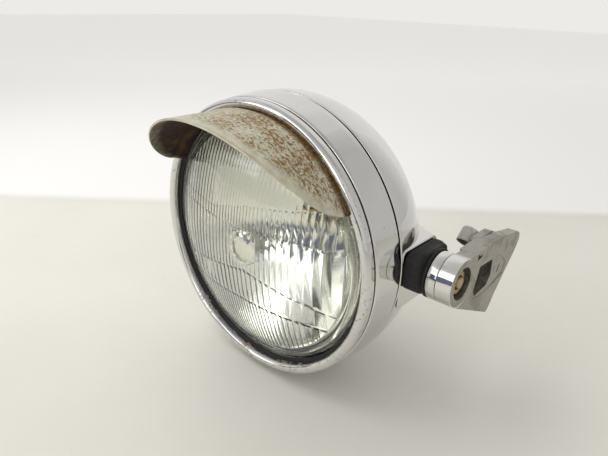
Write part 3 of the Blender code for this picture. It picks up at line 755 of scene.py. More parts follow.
def make_band():
    """Wide chrome band; its rear edge is rolled in and dished beside the pivot boss."""
    inside = SEAM_RADIUS - BAND_WALL
    corners = [
        (65.4, 3.4, 0.2), (66.2, 3.3, 0.5), (66.55, 4.4, 1.0),
        (SEAM_RADIUS - 0.05, SEAM_BACK - 2.2, 2.5), (SEAM_RADIUS, SEAM_BACK - 0.6, 0.4),
        (SEAM_RADIUS - 0.35, SEAM_BACK - 0.1, 0.2), (inside - 0.3, SEAM_BACK - 0.1, 0.2),
        (inside, SEAM_BACK - 2.0, 0.5), (65.5, 4.7, 0.3),
    ]
    outline = rounded(corners, steps=5)
    fine = []
    for (r0, y0), (r1, y1) in zip(outline, outline[1:] + outline[:1]):
        parts = max(1, int(math.hypot(r1 - r0, y1 - y0) / 1.2))
        fine += [(r0 + (r1 - r0) * k / parts, y0 + (y1 - y0) * k / parts) for k in range(parts)]
    points, faces = lathe(fine, 384)
    dished = []
    for x, y, z in points:
        if x > 0:
            across = (z - DIMPLE_HEIGHT) / DIMPLE_HALF
            ahead = (SEAM_BACK + 0.4 - y) / DIMPLE_AHEAD
            fall = max(0.0, 1.0 - across * across - ahead * ahead)
            x -= DIMPLE_DEPTH * fall**0.75
        dished.append((x, y, z))
    made = new_object("chrome_band", (dished, faces), LAMP)
    carve(made, bar(SCREW_HOLE, -74.0, -60.0, (0, 0, 1), (0, SCREW_BACK, 0), 32), LAMP)
    finish_piece(made, "front_unit", CHROME, ["front_band"], 40.0)

    def inward(centre, normal):
        return normal.x * centre.x + normal.z * centre.z < -5.0

    # Dark dull steel on the band's inward faces: unplated metal, and painted shade in the seam.
    second_material(made, DULL_STEEL_AND_SHADE, inward)
    return made


def visor_radius(back):
    """Flush with the opening at the root, a small swage ahead of the bead, then straight."""
    step = min(max((-back - 1.2) / 3.0, 0.0), 1.0)
    step = step * step * (3 - 2 * step)
    swage = 0.38 * math.exp(-(((back + 5.0) / 1.1) ** 2))
    return OPENING_RADIUS - 0.3 + 0.7 * step + swage


def make_visor():
    """Peak rolled to the bead's radius, with an elliptical free edge and a soft crease."""
    columns, rows, root = 168, 44, 1.9
    loops, coords = [], []
    for i in range(columns + 1):
        turn = math.pi * i / columns
        angle = math.radians(90 + VISOR_HALF_ANGLE * math.cos(turn))
        edge = -max(VISOR_REACH * math.sin(turn), 1.0)
        loop, marks = [], []
        backs = [root + (edge - root) * (k / rows) ** 1.15 for k in range(rows + 1)]
        section = [(back, 0.0) for back in backs]
        section += [(edge - 0.22, 0.25), (edge - 0.28, 0.5), (edge - 0.2, 0.75)]
        section += [(back, VISOR_SHEET) for back in reversed(backs)]
        for back, inset in section:
            dent = 0.16 * noise.noise(Vector((angle * 4.0, back * 0.09, 3.1)))
            radius = visor_radius(back) - inset + dent * min(1.0, max(0.0, -back / 8.0))
            loop.append((radius * math.cos(angle), back, radius * math.sin(angle)))
            marks.append(((angle * OPENING_RADIUS, -back), (back - edge, -back)))
        loops.append(loop)
        coords.append(marks)
    points, faces = lofted(loops)
    flat = [m for marks in coords for m in marks]
    made = new_object("visor_peak", (points, faces), LAMP)
    for layer, which in (("sheet", 0), ("edge", 1)):
        uv = made.data.uv_layers.new(name=layer)
        for loop in made.data.loops:
            uv.data[loop.index].uv = flat[loop.vertex_index][which]
    finish_piece(made, "front_unit", VISOR_METAL, ["visor"], 50.0)
    made.data.materials.append(VISOR_RUST)
    per_loop = len(loops[0])
    first_inner = rows + 4
    for face in made.data.polygons:
        if all(v % per_loop >= first_inner for v in face.vertices):
            face.material_index = 1
    return made


def dome(edge, crown, rise, steps):
    """Spherical cap from the axis to its edge, as (radius, back) points."""
    sphere = (edge**2 + rise**2) / (2 * rise)
    reach = math.asin(edge / sphere)
    turns = [reach * i / steps for i in range(steps + 1)]
    return [(sphere * math.sin(t), crown + sphere * (1 - math.cos(t))) for t in turns]


LENS_SPHERE = 122.2
LENS_RIM_FRONT = LENS_CROWN + LENS_SPHERE - math.sqrt(LENS_SPHERE**2 - LENS_RADIUS**2)
LENS_WALL = 3.0
LENS_FLANGE = LENS_RIM_RADIUS - 0.6
TOOTH_LINES = 4                          # mesh lines to a tooth of the knurled ring
TEETH = 360

# Bands of flutes from the top down. Each has the line of its lower edge as (x, z) points, its
# rib height, flutes for one of the finest band's, how much thicker the glass grows per
# millimetre of height, the depth of the groove below it, and the rows of its mesh.
FLUTE_BANDS = [
    ([(-54, 34.0), (54, 38.0)], 0.20, 1.0, 0.006, 0.0, 8),
    ([(-54, 17.0), (-17, 16.0), (4, 21.6), (54, 28.5)], 0.11, 1.0, 0.000, 0.0, 12),
    ([(-54, 13.4), (0, 11.0), (54, 12.0)], 0.28, 1.0, -0.006, 0.07, 8),
    ([(-54, -18.4), (4, -8.2), (54, -20.4)], 0.24, 0.85, 0.003, 0.06, 16),
    ([(-54, -27.4), (-2, -24.8), (54, -28.0)], 0.24, 0.66, -0.003, 0.06, 10),
    ([(-54, -FLUTE_EDGE), (54, -FLUTE_EDGE)], 0.20, 1.0, 0.006, 0.0, 16),
]
FINEST_FLUTE = 1.75
FLUTE_WIDENING = 0.036                   # growth of a flute's width per millimetre from the middle
FLUTE_COLUMNS = 640
GROOVE_HALF = 0.15


def lens_inside(x, z):
    """Back of the smooth inner dome."""
    sphere = LENS_SPHERE - LENS_WALL
    return LENS_CROWN + LENS_SPHERE - math.sqrt(sphere**2 - x * x - z * z)


def height_on(line, x):
    """Height at x of a line of straight pieces."""
    for (x0, z0), (x1, z1) in zip(line, line[1:]):
        if x <= x1:
            return z0 + (z1 - z0) * (x - x0) / (x1 - x0)
    return line[-1][1]


def flute_column(x):
    """Heights, and backs of the glass, down one line of the fluted face."""
    count = math.log1p(abs(x) * FLUTE_WIDENING / FINEST_FLUTE) / FLUTE_WIDENING
    count = math.copysign(count, x)
    column = []
    upper = FLUTE_EDGE
    for line, rib, rate, growth, groove, rows in FLUTE_BANDS:
        lower = height_on(line, x)
        crest = 1.0 - (2 * ((count * rate) % 1.0) - 1) ** 2
        for k in range(rows + 1):
            z = upper - GROOVE_HALF - (upper - lower - 2 * GROOVE_HALF) * k / rows
            spread = max(1.0, math.hypot(x, z) / FLUTE_EDGE)
            plain = 1.0 - 0.93 * math.exp(-(((x - 2.5) ** 2 + (z - 0.5) ** 2) / 95.0) ** 2)
            base = lens_inside(x / spread, z / spread)
            column.append((z, base + rib * plain * crest + growth * (z - (upper + lower) / 2)))
        column.append((lower, column[-1][1] - groove))
        upper = lower
    return column[:-1]


def flute_block():
    """Solid behind the fluted face, clipped to the inside of the plain ring."""
    depth = 20.0
    loops = []
    for i in range(FLUTE_COLUMNS + 1):
        x = FLUTE_EDGE * (2 * i / FLUTE_COLUMNS - 1)
        column = [(x, back, z) for z, back in flute_column(x)]
        loops.append(column + [(x, depth, column[-1][2]), (x, depth, column[0][2])])
    block = new_object("flute_block", lofted(loops), LAMP)
    inside = FLUTE_EDGE - 0.02
    carve(block, bar(inside, -30.0, 30.0, (0, 1, 0), steps=720), LAMP, "INTERSECT", "MANIFOLD")
    return block


def make_lens():
    """Domed glass: plain skirt, knurled ring, plain ring, and flutes on its inner face."""

    def inside(radius, out=0.0):
        return (radius, lens_inside(radius, 0) + out)

    tooth_back = 0.5
    outer = dome(LENS_RADIUS, LENS_CROWN, LENS_RIM_FRONT - LENS_CROWN, 40)
    corners = [
        (LENS_RADIUS, LENS_RIM_FRONT, 0.0), (LENS_FLANGE, LENS_RIM_FRONT + 0.7, 0.3),
        (LENS_FLANGE, 8.6, 0.3), (58.2, 8.6, 0.3), inside(57.6, 0.6) + (0.4,), inside(57.2) + (0.0,),
    ]
    rim = rounded(corners, closed=False, steps=4)
    knurl = [inside(56.7), inside(KNURL_OUTER, -0.15)]
    knurl += [inside(56.2, tooth_back), inside(54.8, tooth_back)]
    groove = [inside(KNURL_INNER), inside(54.3, -0.45), inside(52.8, -0.45)]
    profile = outer + rim[1:] + knurl + groove + [(FLUTE_EDGE, 16.0), (0.0, 16.0)]
    points, faces = lathe(profile, TEETH * TOOTH_LINES, closed=False)
    teeth = []
    for x, y, z in points:
        radius = math.hypot(x, z)
        if 54.7 < radius < 56.3 and abs(y - lens_inside(x, z) - tooth_back) < 0.05:
            y += 0.22 * math.cos(math.atan2(z, x) * TEETH)
        teeth.append((x, y, z))
    made = new_object("lens_fluted", (teeth, faces), LAMP)
    carve(made, flute_block(), solver="MANIFOLD")
    return finish_piece(made, "front_unit", LENS_GLASS, ["lens"], 60.0)


def make_gasket():
    """Black ring that the glass sits in, just inside the bead."""
    corners = [
        (GASKET_RADIUS, 1.95, 0.15), (64.1, 1.95, 0.3), (64.1, 9.6, 0.3), (61.0, 9.6, 0.2),
        (61.0, 5.6, 0.2), (60.85, 5.5, 0.1), (60.85, 2.9, 0.1), (GASKET_RADIUS, 2.4, 0.1),
    ]
    shape = lathe(rounded(corners, steps=4), 192)
    return make_piece(
        "rim_gasket", shape, LAMP, "front_unit", GASKET, ["lens_gasket"]
    )


def reflector_back(radius):
    return REFLECTOR_FRONT + (REFLECTOR_EDGE**2 - radius**2) / (4 * FOCAL_LENGTH)


def make_reflector():
    """Mirror bowl, crimped round the edge of the glass."""
    steps, wall = 56, 1.0
    radii = [REFLECTOR_EDGE - (REFLECTOR_EDGE - BULB_HOLE) * i / steps for i in range(steps + 1)]
    inner = [(r, reflector_back(r)) for r in radii]
    end = reflector_back(BULB_HOLE)
    lip = [(BULB_HOLE - 0.2, end + 0.3), (BULB_HOLE, end + wall + 0.2)]
    slopes = [math.hypot(1, r / (2 * FOCAL_LENGTH)) for r in radii]
    outer = [(r, reflector_back(r) + wall * k) for r, k in reversed(list(zip(radii, slopes)))]
    crimp = [(57.0, 9.9, 0.2), (LENS_RIM_RADIUS, 9.9, 0.5), (LENS_RIM_RADIUS, 3.3, 0.1)]
    crimp += [(LENS_FLANGE + 0.15, 3.3, 0.1), (LENS_FLANGE + 0.15, 8.9, 0.2), (56.4, 8.9, 0.2)]
    rim = rounded(crimp, closed=False, steps=3)
    shape = lathe(inner + lip + outer[1:] + rim, 192)
    made = make_piece(
        "reflector_bowl", shape, LAMP, "front_unit", MIRROR, ["reflector"], 40.0
    )

    def on_flange(centre, normal):
        return math.hypot(centre.x, centre.z) > 56.3 and centre.y < REFLECTOR_FRONT

    second_material(made, PUTTY, on_flange)
    return made


def make_bulb_parts():
    """Holder, foot and glass of the bulb, behind the reflector's hole and through it."""
    socket = [
        (6.3, 41.0, 0.2), (8.1, 41.0, 0.3), (8.1, 44.9, 0.5),
        (14.0, 44.9, 0.4), (14.0, 46.3, 0.4), (6.3, 46.3, 0.2),
    ]
    shape = lathe(rounded(socket, steps=3), 96)
    make_piece("bulb_holder", shape, LAMP, "front_unit", STEEL, ["bulb_socket"])
    base = [(3.2, 38.0, 0), (6.0, 38.4, 0.4), (6.0, 46.6, 0.2), (8.8, 46.6, 0.3), (8.8, 47.8, 0.3)]
    base += [(5.0, 47.8, 0.3), (4.8, 50.6, 0)]
    shape = rod(rounded(base, False, 3), (0, 1, 0), steps=64)
    make_piece("bulb_foot", shape, LAMP, "front_unit", BRASS, ["bulb_base"])
    tip = arc((0.0, 17.2), 5.5, -88, 0, 14)
    capsule = tip + [(5.5, 26.0), (5.45, 33.0), (5.1, 34.6), (4.4, 36.2), (4.2, 37.7)]
    shape = rod(capsule, (0, 1, 0), steps=64)
    make_piece(
        "bulb_capsule", shape, LAMP, "front_unit", BULB_GLASS, ["bulb_glass"], 50.0
    )


def make_bulb_shield():
    """Bright cup ahead of the bulb, carried on two legs."""
    cup = [
        (0.0, -8.3, 0), (3.2, -8.1, 3.0), (5.6, -7.5, 3.0), (7.6, -6.6, 0.6), (8.1, -6.9, 0.3),
        (8.75, -6.2, 0.5), (8.75, 0.5, 0.3), (7.95, 0.5, 0.3),
        (7.95, -5.8, 0.6), (7.2, -5.9, 0.4), (0.0, -7.2, 0),
    ]
    made = new_object("shield_cup", lathe(rounded(cup, False, 4), 96, closed=False), LAMP)
    for side in (-1, 1):
        carve(made, bar(0.8, -3.0, 42.7, (0, 1, 0), (9.25 * side, 0, 0), 16), LAMP, "UNION")
    finish_piece(made, "front_unit", MIRROR, ["bulb_shield"], 40.0)
    second_material(made, STEEL, lambda centre, normal: centre.y > -6.4)
    return made


def make_rim_screw():
    """Pan-headed screw under the band, and its square nut."""
    head = [
        (0.0, -70.0, 0), (2.7, -70.0, 0.7), (3.6, -69.0, 0.4), (3.6, -68.0, 0.15), (2.0, -68.0, 0)
    ]
    ridges = []
    for i in range(18):
        place = -67.0 + 0.45 * i
        ridges += [(2.0, place), (1.72, place + 0.22)]
    profile = rounded(head, False, 4)[1:] + ridges + [(1.7, -58.8), (1.5, -58.6)]
    made = new_object("rim_screw_fine", rod(profile, (0, 0, 1), (0, SCREW_BACK, 0), 40), LAMP)
    carve(made, box((-4.0, SCREW_BACK - 0.5, -71.0), (4.0, SCREW_BACK + 0.5, -69.1)), LAMP)
    finish_piece(made, "rim_screw", STEEL, ["rim_screw"])
    square = box((-3.5, SCREW_BACK - 3.4, -63.1), (3.5, SCREW_BACK + 3.4, -60.4))
    nut = new_object("rim_nut_fine", square, LAMP)
    carve(nut, bar(SCREW_HOLE, -70.0, -55.0, (0, 0, 1), (0, SCREW_BACK, 0), 32), LAMP)
    soften(nut, 0.3)
    finish_piece(nut, "front_unit", STEEL, ["rim_nut"])


# ---------------------------------------------------------------- bowl and pivot side


def bowl_section(radius, depth, steps):
    power = 2 / BOWL_POWER
    turns = [math.pi / 2 * i / steps for i in range(steps)]
    points = [(radius * math.cos(t) ** power, depth * math.sin(t) ** power) for t in turns]
    return points + [(0.0, depth)]


def boss_ring(x, front, back, bottom, top, radius, steps=6):
    corners = [(front, bottom), (back, bottom), (back, top), (front, top)]
    outline = rounded([(*corner, radius) for corner in corners], steps=steps)
    return [(x, y, z) for y, z in outline]


def make_bowl():
    """Pressed bowl with a stepped neck, and the boss that carries the pivot."""
    front = SEAM_BACK + SEAM_GAP
    depth = BOWL_END - front
    radius = SEAM_RADIUS - 0.2
    outer = [(r, front + y) for r, y in bowl_section(radius, depth, 44)]
    inner = [(r, front + y) for r, y in bowl_section(radius - SHEET, depth - SHEET, 30)]
    neck_inside = NECK_RADIUS - SHEET
    step = [(NECK_RADIUS, NECK_FRONT, 0), (NECK_RADIUS, front, 0.2), (radius, front, 0.5)]
    step = rounded(step + [outer[1] + (0,)], False, 5)
    profile = step[:-1] + outer[1:] + list(reversed(inner[1:]))
    profile += [(radius - SHEET, front + SHEET), (neck_inside, front + SHEET)]
    profile += [(neck_inside, NECK_FRONT)]
    made = new_object("chrome_bowl", lathe(profile, 256), LAMP)
    rings = []
    for i in range(9):
        x = BOSS_FACE - 0.35 - BOSS_DEPTH * i / 8
        grow = (i / 8) ** 1.15
        low, high = -16.0 - 6.0 * grow, 11.5 + 2.5 * grow
        rings.append(boss_ring(x, 19.9, 47.3 + 5.0 * grow, low, high, 2.6))
    face = boss_ring(BOSS_FACE, 20.3, 46.9, -15.6, 11.1, 2.3)
    carve(made, lofted([face] + rings), LAMP, "UNION")
    pocket = box((40.0, PIVOT_BACK - 8.5, -8.5), (BOSS_INNER, PIVOT_BACK + 8.5, 8.5))
    carve(made, pocket, LAMP)
    carve(made, bar(BOLT_RADIUS + CLEARANCE, 40.0, 80.0, place=(0, PIVOT_BACK, 0)), LAMP)
    carve(made, box((-2.6, NECK_FRONT - 2.0, -72.0), (2.6, 17.4, -60.0)), LAMP)
    carve(made, bar(4.8, -8.0, 8.0, GROMMET_AXIS, GROMMET_PLACE), LAMP)
    finish_piece(made, "lamp_shell", BOWL_CHROME, ["rear_bowl"], 30.0)

    def hidden(centre, normal):
        """The neck, the inside of the shell and the bolt's pocket; the neck's dark colour is painted
        shade in the seam.
        """
        away = math.hypot(centre.x, centre.z)
        inward = normal.x * centre.x + normal.z * centre.z < 0 or normal.y < -0.3
        within = centre.y < front + 0.1 or inward and centre.x < BOSS_INNER
        return away < NECK_RADIUS + 0.1 and within

    # Dark dull steel on the neck, inside and pocket: unplated metal, and painted shade in the seam.
    second_material(made, DULL_STEEL_AND_SHADE, hidden)
    return made


def squared_ring(x, half_width, upper, lower, steps=160):
    """Ring across X between a circle and a rounded square; each half is (height, exponent)."""
    ring = []
    for i in range(steps):
        turn = 2 * math.pi * i / steps
        height, power = upper if math.sin(turn) > 0 else lower
        wide, high = abs(math.cos(turn)) / half_width, abs(math.sin(turn)) / height
        reach = (wide**power + high**power) ** (-1 / power)
        ring.append((x, reach * math.cos(turn), reach * math.sin(turn)))
    return ring


def blend_sections(sections, x):
    """Values at x, easing between sections that each start with their own x."""
    for first, second in zip(sections, sections[1:]):
        if x <= second[0]:
            part = (x - first[0]) / (second[0] - first[0])
            part = part * part * (3 - 2 * part)
            return [a + (b - a) * part for a, b in zip(first[1:], second[1:])]
    return list(sections[-1][1:])


def make_rubber():
    """Damper: squared at the boss, a faint moulded step, tapering to a neck and a thin lip."""
    start, end = BOSS_FACE + CLEARANCE, COLLAR_START - CLEARANCE
    neck = end - 1.4
    sections = [
        (start, 12.9, 10.9, 7.0, 6.8, 4.0),
        (70.6, 12.9, 10.9, 7.0, 7.2, 3.4),
        (73.6, 12.4, 10.9, 4.6, 8.2, 2.8),
        (neck, 10.8, 10.4, 2.2, 9.2, 2.1),
    ]
    rings = []
    for i in range(25):
        x = start + (neck - start) * i / 24
        wide, up, up_power, down, down_power = blend_sections(sections, x)
        ease = 0.5 * max(0.0, 1 - (x - start) / 0.6) ** 2
        rings.append(squared_ring(x, wide - ease, (up - ease, up_power), (down - ease, down_power)))
    lip = ((1.25, 10.9), (1.05, 11.25), (0.8, 11.45), (0.4, 11.45), (0.15, 11.35), (0.0, 11.1))
    for ahead, radius in lip:
        rings.append(squared_ring(end - ahead, radius, (radius, 2.0), (radius - 1.1, 2.0)))
    made = new_object("rubber_damper", lofted(rings), PIVOT)
    carve(made, bar(BOLT_RADIUS + CLEARANCE, 60.0, 90.0), PIVOT)
    return finish_piece(made, "lamp_shell", RUBBER, ["rubber_block"], 40.0)


def thread(radius, start, end, pitch=1.0, depth=0.35):
    """Profile of rings that reads as a thread."""
    profile = []
    place = start
    while place < end - pitch:
        profile += [(radius, place), (radius - depth, place + pitch / 2)]
        place += pitch
    return profile


def make_pivot_hardware():
    """Bolt with its head in the boss's pocket, nut in the arm's bore, and both washers."""
    head = new_object("pivot_bolt_fine", prism(hexagon(PIVOT_FLATS), 49.0, 53.1), PIVOT)
    soften(head, 0.3)
    shank = [(BOLT_RADIUS, 51.0), (BOLT_RADIUS, 76.0)] + thread(BOLT_RADIUS, 76.3, 87.0)
    shank += [(2.6, 86.9), (2.3, 87.3)]
    carve(head, rod(shank, (1, 0, 0), steps=40), PIVOT, "UNION")
    finish_piece(head, "lamp_shell", GOLD_ZINC, ["pivot_bolt"])
    start, end = COLLAR_SEAM + CLEARANCE, COLLAR_SEAM + 5.3
    nut = new_object("pivot_nut_fine", prism(hexagon(PIVOT_FLATS), start, end), PIVOT)
    dish = [(5.0, start - 0.1), (5.9, start + 0.6), (5.9, end - 0.6), (5.0, end + 0.1)]
    carve(nut, rod(dish, (1, 0, 0), steps=64), PIVOT, "INTERSECT")
    carve(nut, bar(BOLT_RADIUS + CLEARANCE, 70.0, 92.0, steps=40), PIVOT)
    soften(nut, 0.15, 2, 25.0)
    finish_piece(nut, "pivot_nut", GOLD_ZINC, ["pivot_nut"])
    shape = washer(3.35, 6.2, 79.9, 81.0)
    make_piece(
        "pivot_washer_fine", shape, PIVOT, "bracket", GOLD_ZINC, ["pivot_washer"]
    )
    shape = washer(3.35, 7.5, 53.4, BOSS_INNER - CLEARANCE)
    make_piece(
        "inner_washer_fine", shape, PIVOT, "lamp_shell", STEEL, ["inner_washer"]
    )


def make_grommet():
    profile = [
        (2.5, -3.3, 0.3), (6.4, -3.3, 0.5), (6.4, -2.0, 0.5), (4.4, -1.9, 0.3), (4.4, 0.5, 0.3),
        (6.9, 0.7, 0.6), (6.4, 2.2, 0.7), (2.5, 2.4, 0.4),
    ]
    shape = turned_to(lathe(rounded(profile, steps=4), 96), GROMMET_AXIS, GROMMET_PLACE)
    return make_piece(
        "grommet", shape, LAMP, "lamp_shell", RUBBER, ["wire_grommet"]
    )


# ---------------------------------------------------------------- bracket


def arm_outline():
    """(y, z) outline of the arm about the pivot axis."""
    lower = [(y, z, 0) for y, z in arc((0, 0), COLLAR_RADIUS, 180, 242, 22)]
    corner = [(y, z, 0) for y, z in arc((32.2, -25.3), 2.6, -120, -35, 8)]
    side = [(39.0, -20.6, 6.0), (55.2, -3.2, 6.0)]
    side += [(58.4, 1.8, 2.5), (57.5, 4.9, 1.6), (54.8, 6.6, 2.0)]
    top = [(40.2, 9.3, 5.0), (28.5, 10.2, 5.0), (9.0, 9.7, 4.0)]
    upper = [(y, z, 0) for y, z in arc((0, 0), COLLAR_RADIUS, 72, 165, 30)]
    return rounded(lower + corner + side + top + upper, steps=4)


def frustum(outline, start, end, grow):
    """Cutter whose outline spreads by grow between two planes."""
    middle = Vector((sum(y for y, _ in outline), sum(z for _, z in outline))) / len(outline)
    spread = []
    for y, z in outline:
        away = Vector((y, z)) - middle
        spread.append(tuple(middle + away * (1 + grow / away.length)))
    return lofted([[(x, y, z) for y, z in ring] for x, ring in ((start, outline), (end, spread))])


def make_arm():
    """Cast arm: boss with the pivot bore, six-sided window with a machined border, thin end."""
    made = new_object("cast_arm", prism(arm_outline(), ARM_INNER, ARM_OUTER), PIVOT)
    thin_end = [(40.0, -30.0), (62.0, -30.0), (62.0, 15.0), (40.0, 15.0)]
    carve(made, prism(thin_end, 70.0, THIN_END_INNER), PIVOT)
    seam = COLLAR_SEAM + CLEARANCE
    shoulder = lathe([(SPIGOT_RADIUS, 70.0), (14.0, 70.0), (14.0, seam), (SPIGOT_RADIUS, seam)], 96)
    carve(made, turned_to(shoulder, (1, 0, 0)), PIVOT)
    spigot = bar(SPIGOT_RADIUS - CLEARANCE, COLLAR_START + CLEARANCE, 84.0, steps=96)
    carve(made, spigot, PIVOT, "UNION")
    ear = [
        (24.0, -2.0, 0.5), (40.2, -2.0, 0.5), (40.2, 8.8, 0.8), (38.0, 10.2, 1.2), (24.0, 10.2, 1.5)
    ]
    carve(made, prism(rounded(ear, steps=4), 78.3, 82.0), PIVOT, "UNION")
    carve(made, bar(BORE_RADIUS, 79.6, 92.0, steps=96), PIVOT)
    carve(made, bar(BOLT_RADIUS + 0.4, 70.0, 85.0), PIVOT)
    window = [
        (13.9, -9.5, 0.6), (17.0, 1.4, 0.8), (30.0, 0.6, 0.6),
        (30.7, -7.6, 0.5), (27.3, -11.8, 0.5), (16.0, -12.8, 0.6),
    ]
    carve(made, prism(rounded(window, steps=4), 83.0, 92.0), PIVOT)
    inner_window = [(16.0, -8.6), (18.0, 0.6), (29.4, -0.2), (30.0, -7.2), (27.0, -9.6)]
    inner_window = rounded([(y, z, 0.6) for y, z in inner_window])
    carve(made, prism(inner_window, 70.0, 84.0), PIVOT)
    border = [
        (12.4, -9.5, 1.5), (14.4, -13.2, 1.5), (22.7, -14.8, 3.0),
        (34.1, -13.9, 3.0), (44.6, -11.6, 1.5), (46.6, -7.6, 1.5),
        (42.0, -2.8, 2.0), (32.0, 2.2, 2.0), (16.4, 3.2, 1.5),
    ]
    shallow = 0.45
    pocket = frustum(rounded(border, steps=4), ARM_OUTER - shallow, ARM_OUTER + shallow, 0.9)
    carve(made, pocket, PIVOT)
    slot = rounded([(37.0, -9.2, 0.4), (38.2, -9.2, 0.4), (40.2, -5.2, 0.4), (39.0, -5.2, 0.4)])
    carve(made, prism(slot, 86.0, 92.0), PIVOT)
    notch = [(12.0, 6.1), (16.2, 6.9), (16.0, 8.0), (13.6, 7.6), (13.2, 8.9), (12.0, 8.7)]
    carve(made, prism(notch, 86.8, 92.0), PIVOT)
    soften(made, 0.32, 2, 38.0)
    finish_piece(made, "bracket", CAST, ["bracket_arm"], 35.0)
    low, high = Vector((13.0, -13.5)), Vector((31.5, 2.0))

    def recessed(centre, normal):
        """Walls of the bore and of the window, below the outer face, which take the dirt and painted
        shade.
        """
        y, z = centre.y - PIVOT_BACK, centre.z
        in_window = low.x < y < high.x and low.y < z < high.y
        deep = centre.x < ARM_OUTER - shallow
        in_bore = math.hypot(y, z) < BORE_RADIUS + 0.2 and centre.x > ARM_INNER - 1.0
        return deep and (in_bore or in_window and abs(normal.x) < 0.8)

    # The bore and window walls are painted darker: dirt, and painted shade.
    second_material(made, GRIME_AND_SHADE, recessed)
    return made


def make_sleeve():
    """Hollow cast lug behind the arm, with a rough skin and an open lower end."""
    axis, top = Vector(LUG_AXIS), Vector(LUG_TOP)
    corners = [
        (2.3, 0.4, 0.2), (2.9, 0.0, 0.3), (3.8, 0.0, 0.4), (4.2, 0.8, 0.6),
        (4.2, LUG_LENGTH - 0.3, 0.2), (4.0, LUG_LENGTH, 0.15), (3.5, LUG_LENGTH, 0.15),
        (3.2, LUG_LENGTH - 1.2, 0.3), (2.3, LUG_LENGTH - 2.6, 0.4),
    ]
    points, faces = lathe(rounded(corners, steps=4), 96)
    rough = [Vector(p) * (1 + 0.025 * noise.noise(Vector(p) * 0.9)) for p in points]
    made = new_object("fixing_lug", turned_to((rough, faces), axis, top), PIVOT)
    web = prism([(28.6, 3.0), (36.4, 3.0), (36.4, 8.8), (33.0, 8.8)], 77.2, 78.4)
    carve(made, web, PIVOT, "UNION")
    finish_piece(made, "bracket", ROUGH_CAST, ["fixing_sleeve"])

    def in_hole(centre, normal):
        """Wall of the lug's own hole, and its mouth, which take the dirt and painted shade."""
        offset = centre - Vector((0, PIVOT_BACK, 0)) - top
        return (offset - axis * offset.dot(axis)).length < 3.45

    # The lug's hole is painted darker: dirt, and painted shade.
    second_material(made, GRIME_AND_SHADE, in_hole)
    return made


def make_collar():
    inside = SPIGOT_RADIUS + CLEARANCE
    corners = [
        (inside, COLLAR_START, 0.2), (COLLAR_RADIUS, COLLAR_START, 0.35),
        (COLLAR_RADIUS, COLLAR_SEAM, 0.25), (inside, COLLAR_SEAM, 0.2),
    ]
    shape = turned_to(lathe(rounded(corners, steps=4), 160), (1, 0, 0))
    return make_piece(
        "collar", shape, PIVOT, "bracket", COLLAR_METAL, ["collar_ring"]
    )


# ---------------------------------------------------------------- CAD nodes that stay


def dress_nodes():
    """The small inner pieces keep their CAD shape and take these materials."""
    finishes = {
        "clip_hinge": STEEL, "clip_catch": STEEL, "bulb_clip": SPRING,
        "bulb_connector": PLASTIC, "lead_plug": PLASTIC, "lead_socket": PLASTIC,
        "feed_lead": RED_LEAD, "earth_lead": BLACK_LEAD, "harness_cable": BLACK_LEAD,
    }
    finishes.update({f"retaining_clip_{i + 1}": SPRING for i in range(4)})
    for name, material in finishes.items():
        node = frame["nodes"][name]
        node.data.materials.clear()
        node.data.materials.append(material)


# ---------------------------------------------------------------- stage, light and camera


def make_camera():
    azimuth, elevation = math.radians(VIEW_AZIMUTH), math.radians(VIEW_ELEVATION)
    right = Vector((math.cos(azimuth), math.sin(azimuth), 0))
    ahead = Vector((-math.sin(azimuth), math.cos(azimuth), 0)) * math.cos(elevation)
    ahead.z = -math.sin(elevation)
    up = right.cross(ahead)
    roll = Matrix.Rotation(math.radians(VIEW_ROLL), 3, "Z")
    turn = Matrix((right, up, -ahead)).transposed() @ roll
    lens = bpy.data.cameras.new("camera")
    lens.lens = FOCAL_MM
    lens.sensor_width = SENSOR_MM
    lens.clip_start = 0.01
    camera = bpy.data.objects.new("camera", lens)
    camera.matrix_world = Matrix.Translation(LAMP + CAMERA_FROM_LAMP * MM) @ turn.to_4x4()
    bpy.context.scene.collection.objects.link(camera)
    bpy.context.scene.camera = camera


def make_stage(level):
    half = 4.0
    points = [(half * x, half * y, level) for x, y in ((-1, -1), (1, -1), (1, 1), (-1, 1))]
    mesh = bpy.data.meshes.new("floor")
    mesh.from_pydata(points, [], [(0, 1, 2, 3)])
    floor = bpy.data.objects.new("floor", mesh)
    bpy.context.scene.collection.objects.link(floor)
    floor.data.materials.append(floor_material())
    floor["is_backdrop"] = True


def make_light(name, place, aim, width, height, power):
    lamp = bpy.data.lights.new(name, "AREA")
    lamp.shape = "RECTANGLE"
    lamp.size, lamp.size_y = width, height
    lamp.energy = power
    body = bpy.data.objects.new(name, lamp)
    body.location = place
    body.rotation_mode = "QUATERNION"
    body.rotation_quaternion = (Vector(aim) - Vector(place)).to_track_quat("-Z", "Y")
    body.visible_glossy = False
    bpy.context.scene.collection.objects.link(body)


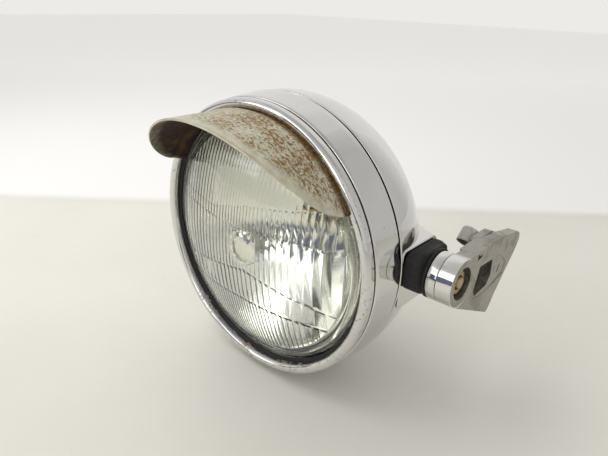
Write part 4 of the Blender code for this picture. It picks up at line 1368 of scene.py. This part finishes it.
def make_world():
    """Pale room with a duller ceiling; the chrome mirrors a dark sill, a window and a figure."""
    world = bpy.data.worlds.new("pale_room")
    world.use_nodes = True
    room = Nodes(world.node_tree, "Generated")
    axes = room.axes()
    around = room.math("ARCTAN2", axes["X"], room.times(axes["Y"], -1.0))
    walls = [(0.0, (0.70, 0.69, 0.66)), (0.50, (0.84, 0.83, 0.80)), (0.65, (0.87, 0.86, 0.84))]
    walls += [(0.84, (0.84, 0.83, 0.81)), (0.92, (0.62, 0.61, 0.59)), (1.0, (0.54, 0.53, 0.50))]
    colour = room.ramp(room.map(axes["Z"], -1.0, 1.0), walls)
    front = room.map(axes["Y"], 0.25, -0.35)
    colour = room.mix(room.times(front, 0.35), colour, rgba((0.42, 0.42, 0.42)))
    right = room.within(around, 1.8, 2.75, 0.5)
    colour = room.mix(room.times(right, 0.42), colour, rgba((0.2, 0.2, 0.2)))
    # Each patch has its heights and its directions in radians, both with a soft edge, then its
    # colour and, for one that isn't solid, its share.
    patches = [
        ((-0.03, 0.10, 0.02), (-1.6, 0.6, 0.2), (0.035, 0.045, 0.09), 0.95),
        ((0.15, 0.44, 0.05), (-0.84, 0.15, 0.10), (2.6, 2.65, 2.7)),
        ((0.44, 0.72, 0.04), (-0.75, -0.2, 0.10), (1.5, 1.52, 1.55)),
        ((-0.1, 0.36, 0.03), (-0.60, -0.24, 0.04), (0.10, 0.11, 0.19)),
    ]
    for heights, directions, light, *share in patches:
        patch = room.times(room.within(axes["Z"], *heights), room.within(around, *directions))
        colour = room.mix(room.times(patch, *share), colour, rgba(light))
    seen = room.add("ShaderNodeLightPath").outputs["Is Camera Ray"]
    colour = room.mix(seen, colour, rgba((0.84, 0.83, 0.81)))
    sky = world.node_tree.nodes["Background"]
    world.node_tree.links.new(colour, sky.inputs["Color"])
    bpy.context.scene.world = world


# ---------------------------------------------------------------- assembly


make_bezel()
make_band()
make_visor()
make_lens()
make_gasket()
make_reflector()
make_bulb_parts()
make_bulb_shield()
make_rim_screw()
make_bowl()
make_rubber()
make_pivot_hardware()
make_grommet()
make_arm()
make_sleeve()
make_collar()
dress_nodes()

make_camera()
make_stage(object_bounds()[0].z)
make_world()
make_light("left_softbox", LAMP + Vector((-0.36, -0.16, 0.60)), LAMP, 0.7, 0.5, 3.3)
make_light("overhead_softbox", LAMP + Vector((0.0, 0.35, 1.5)), LAMP, 2.0, 2.0, 1.6)
bpy.context.scene.view_settings.view_transform = "Standard"
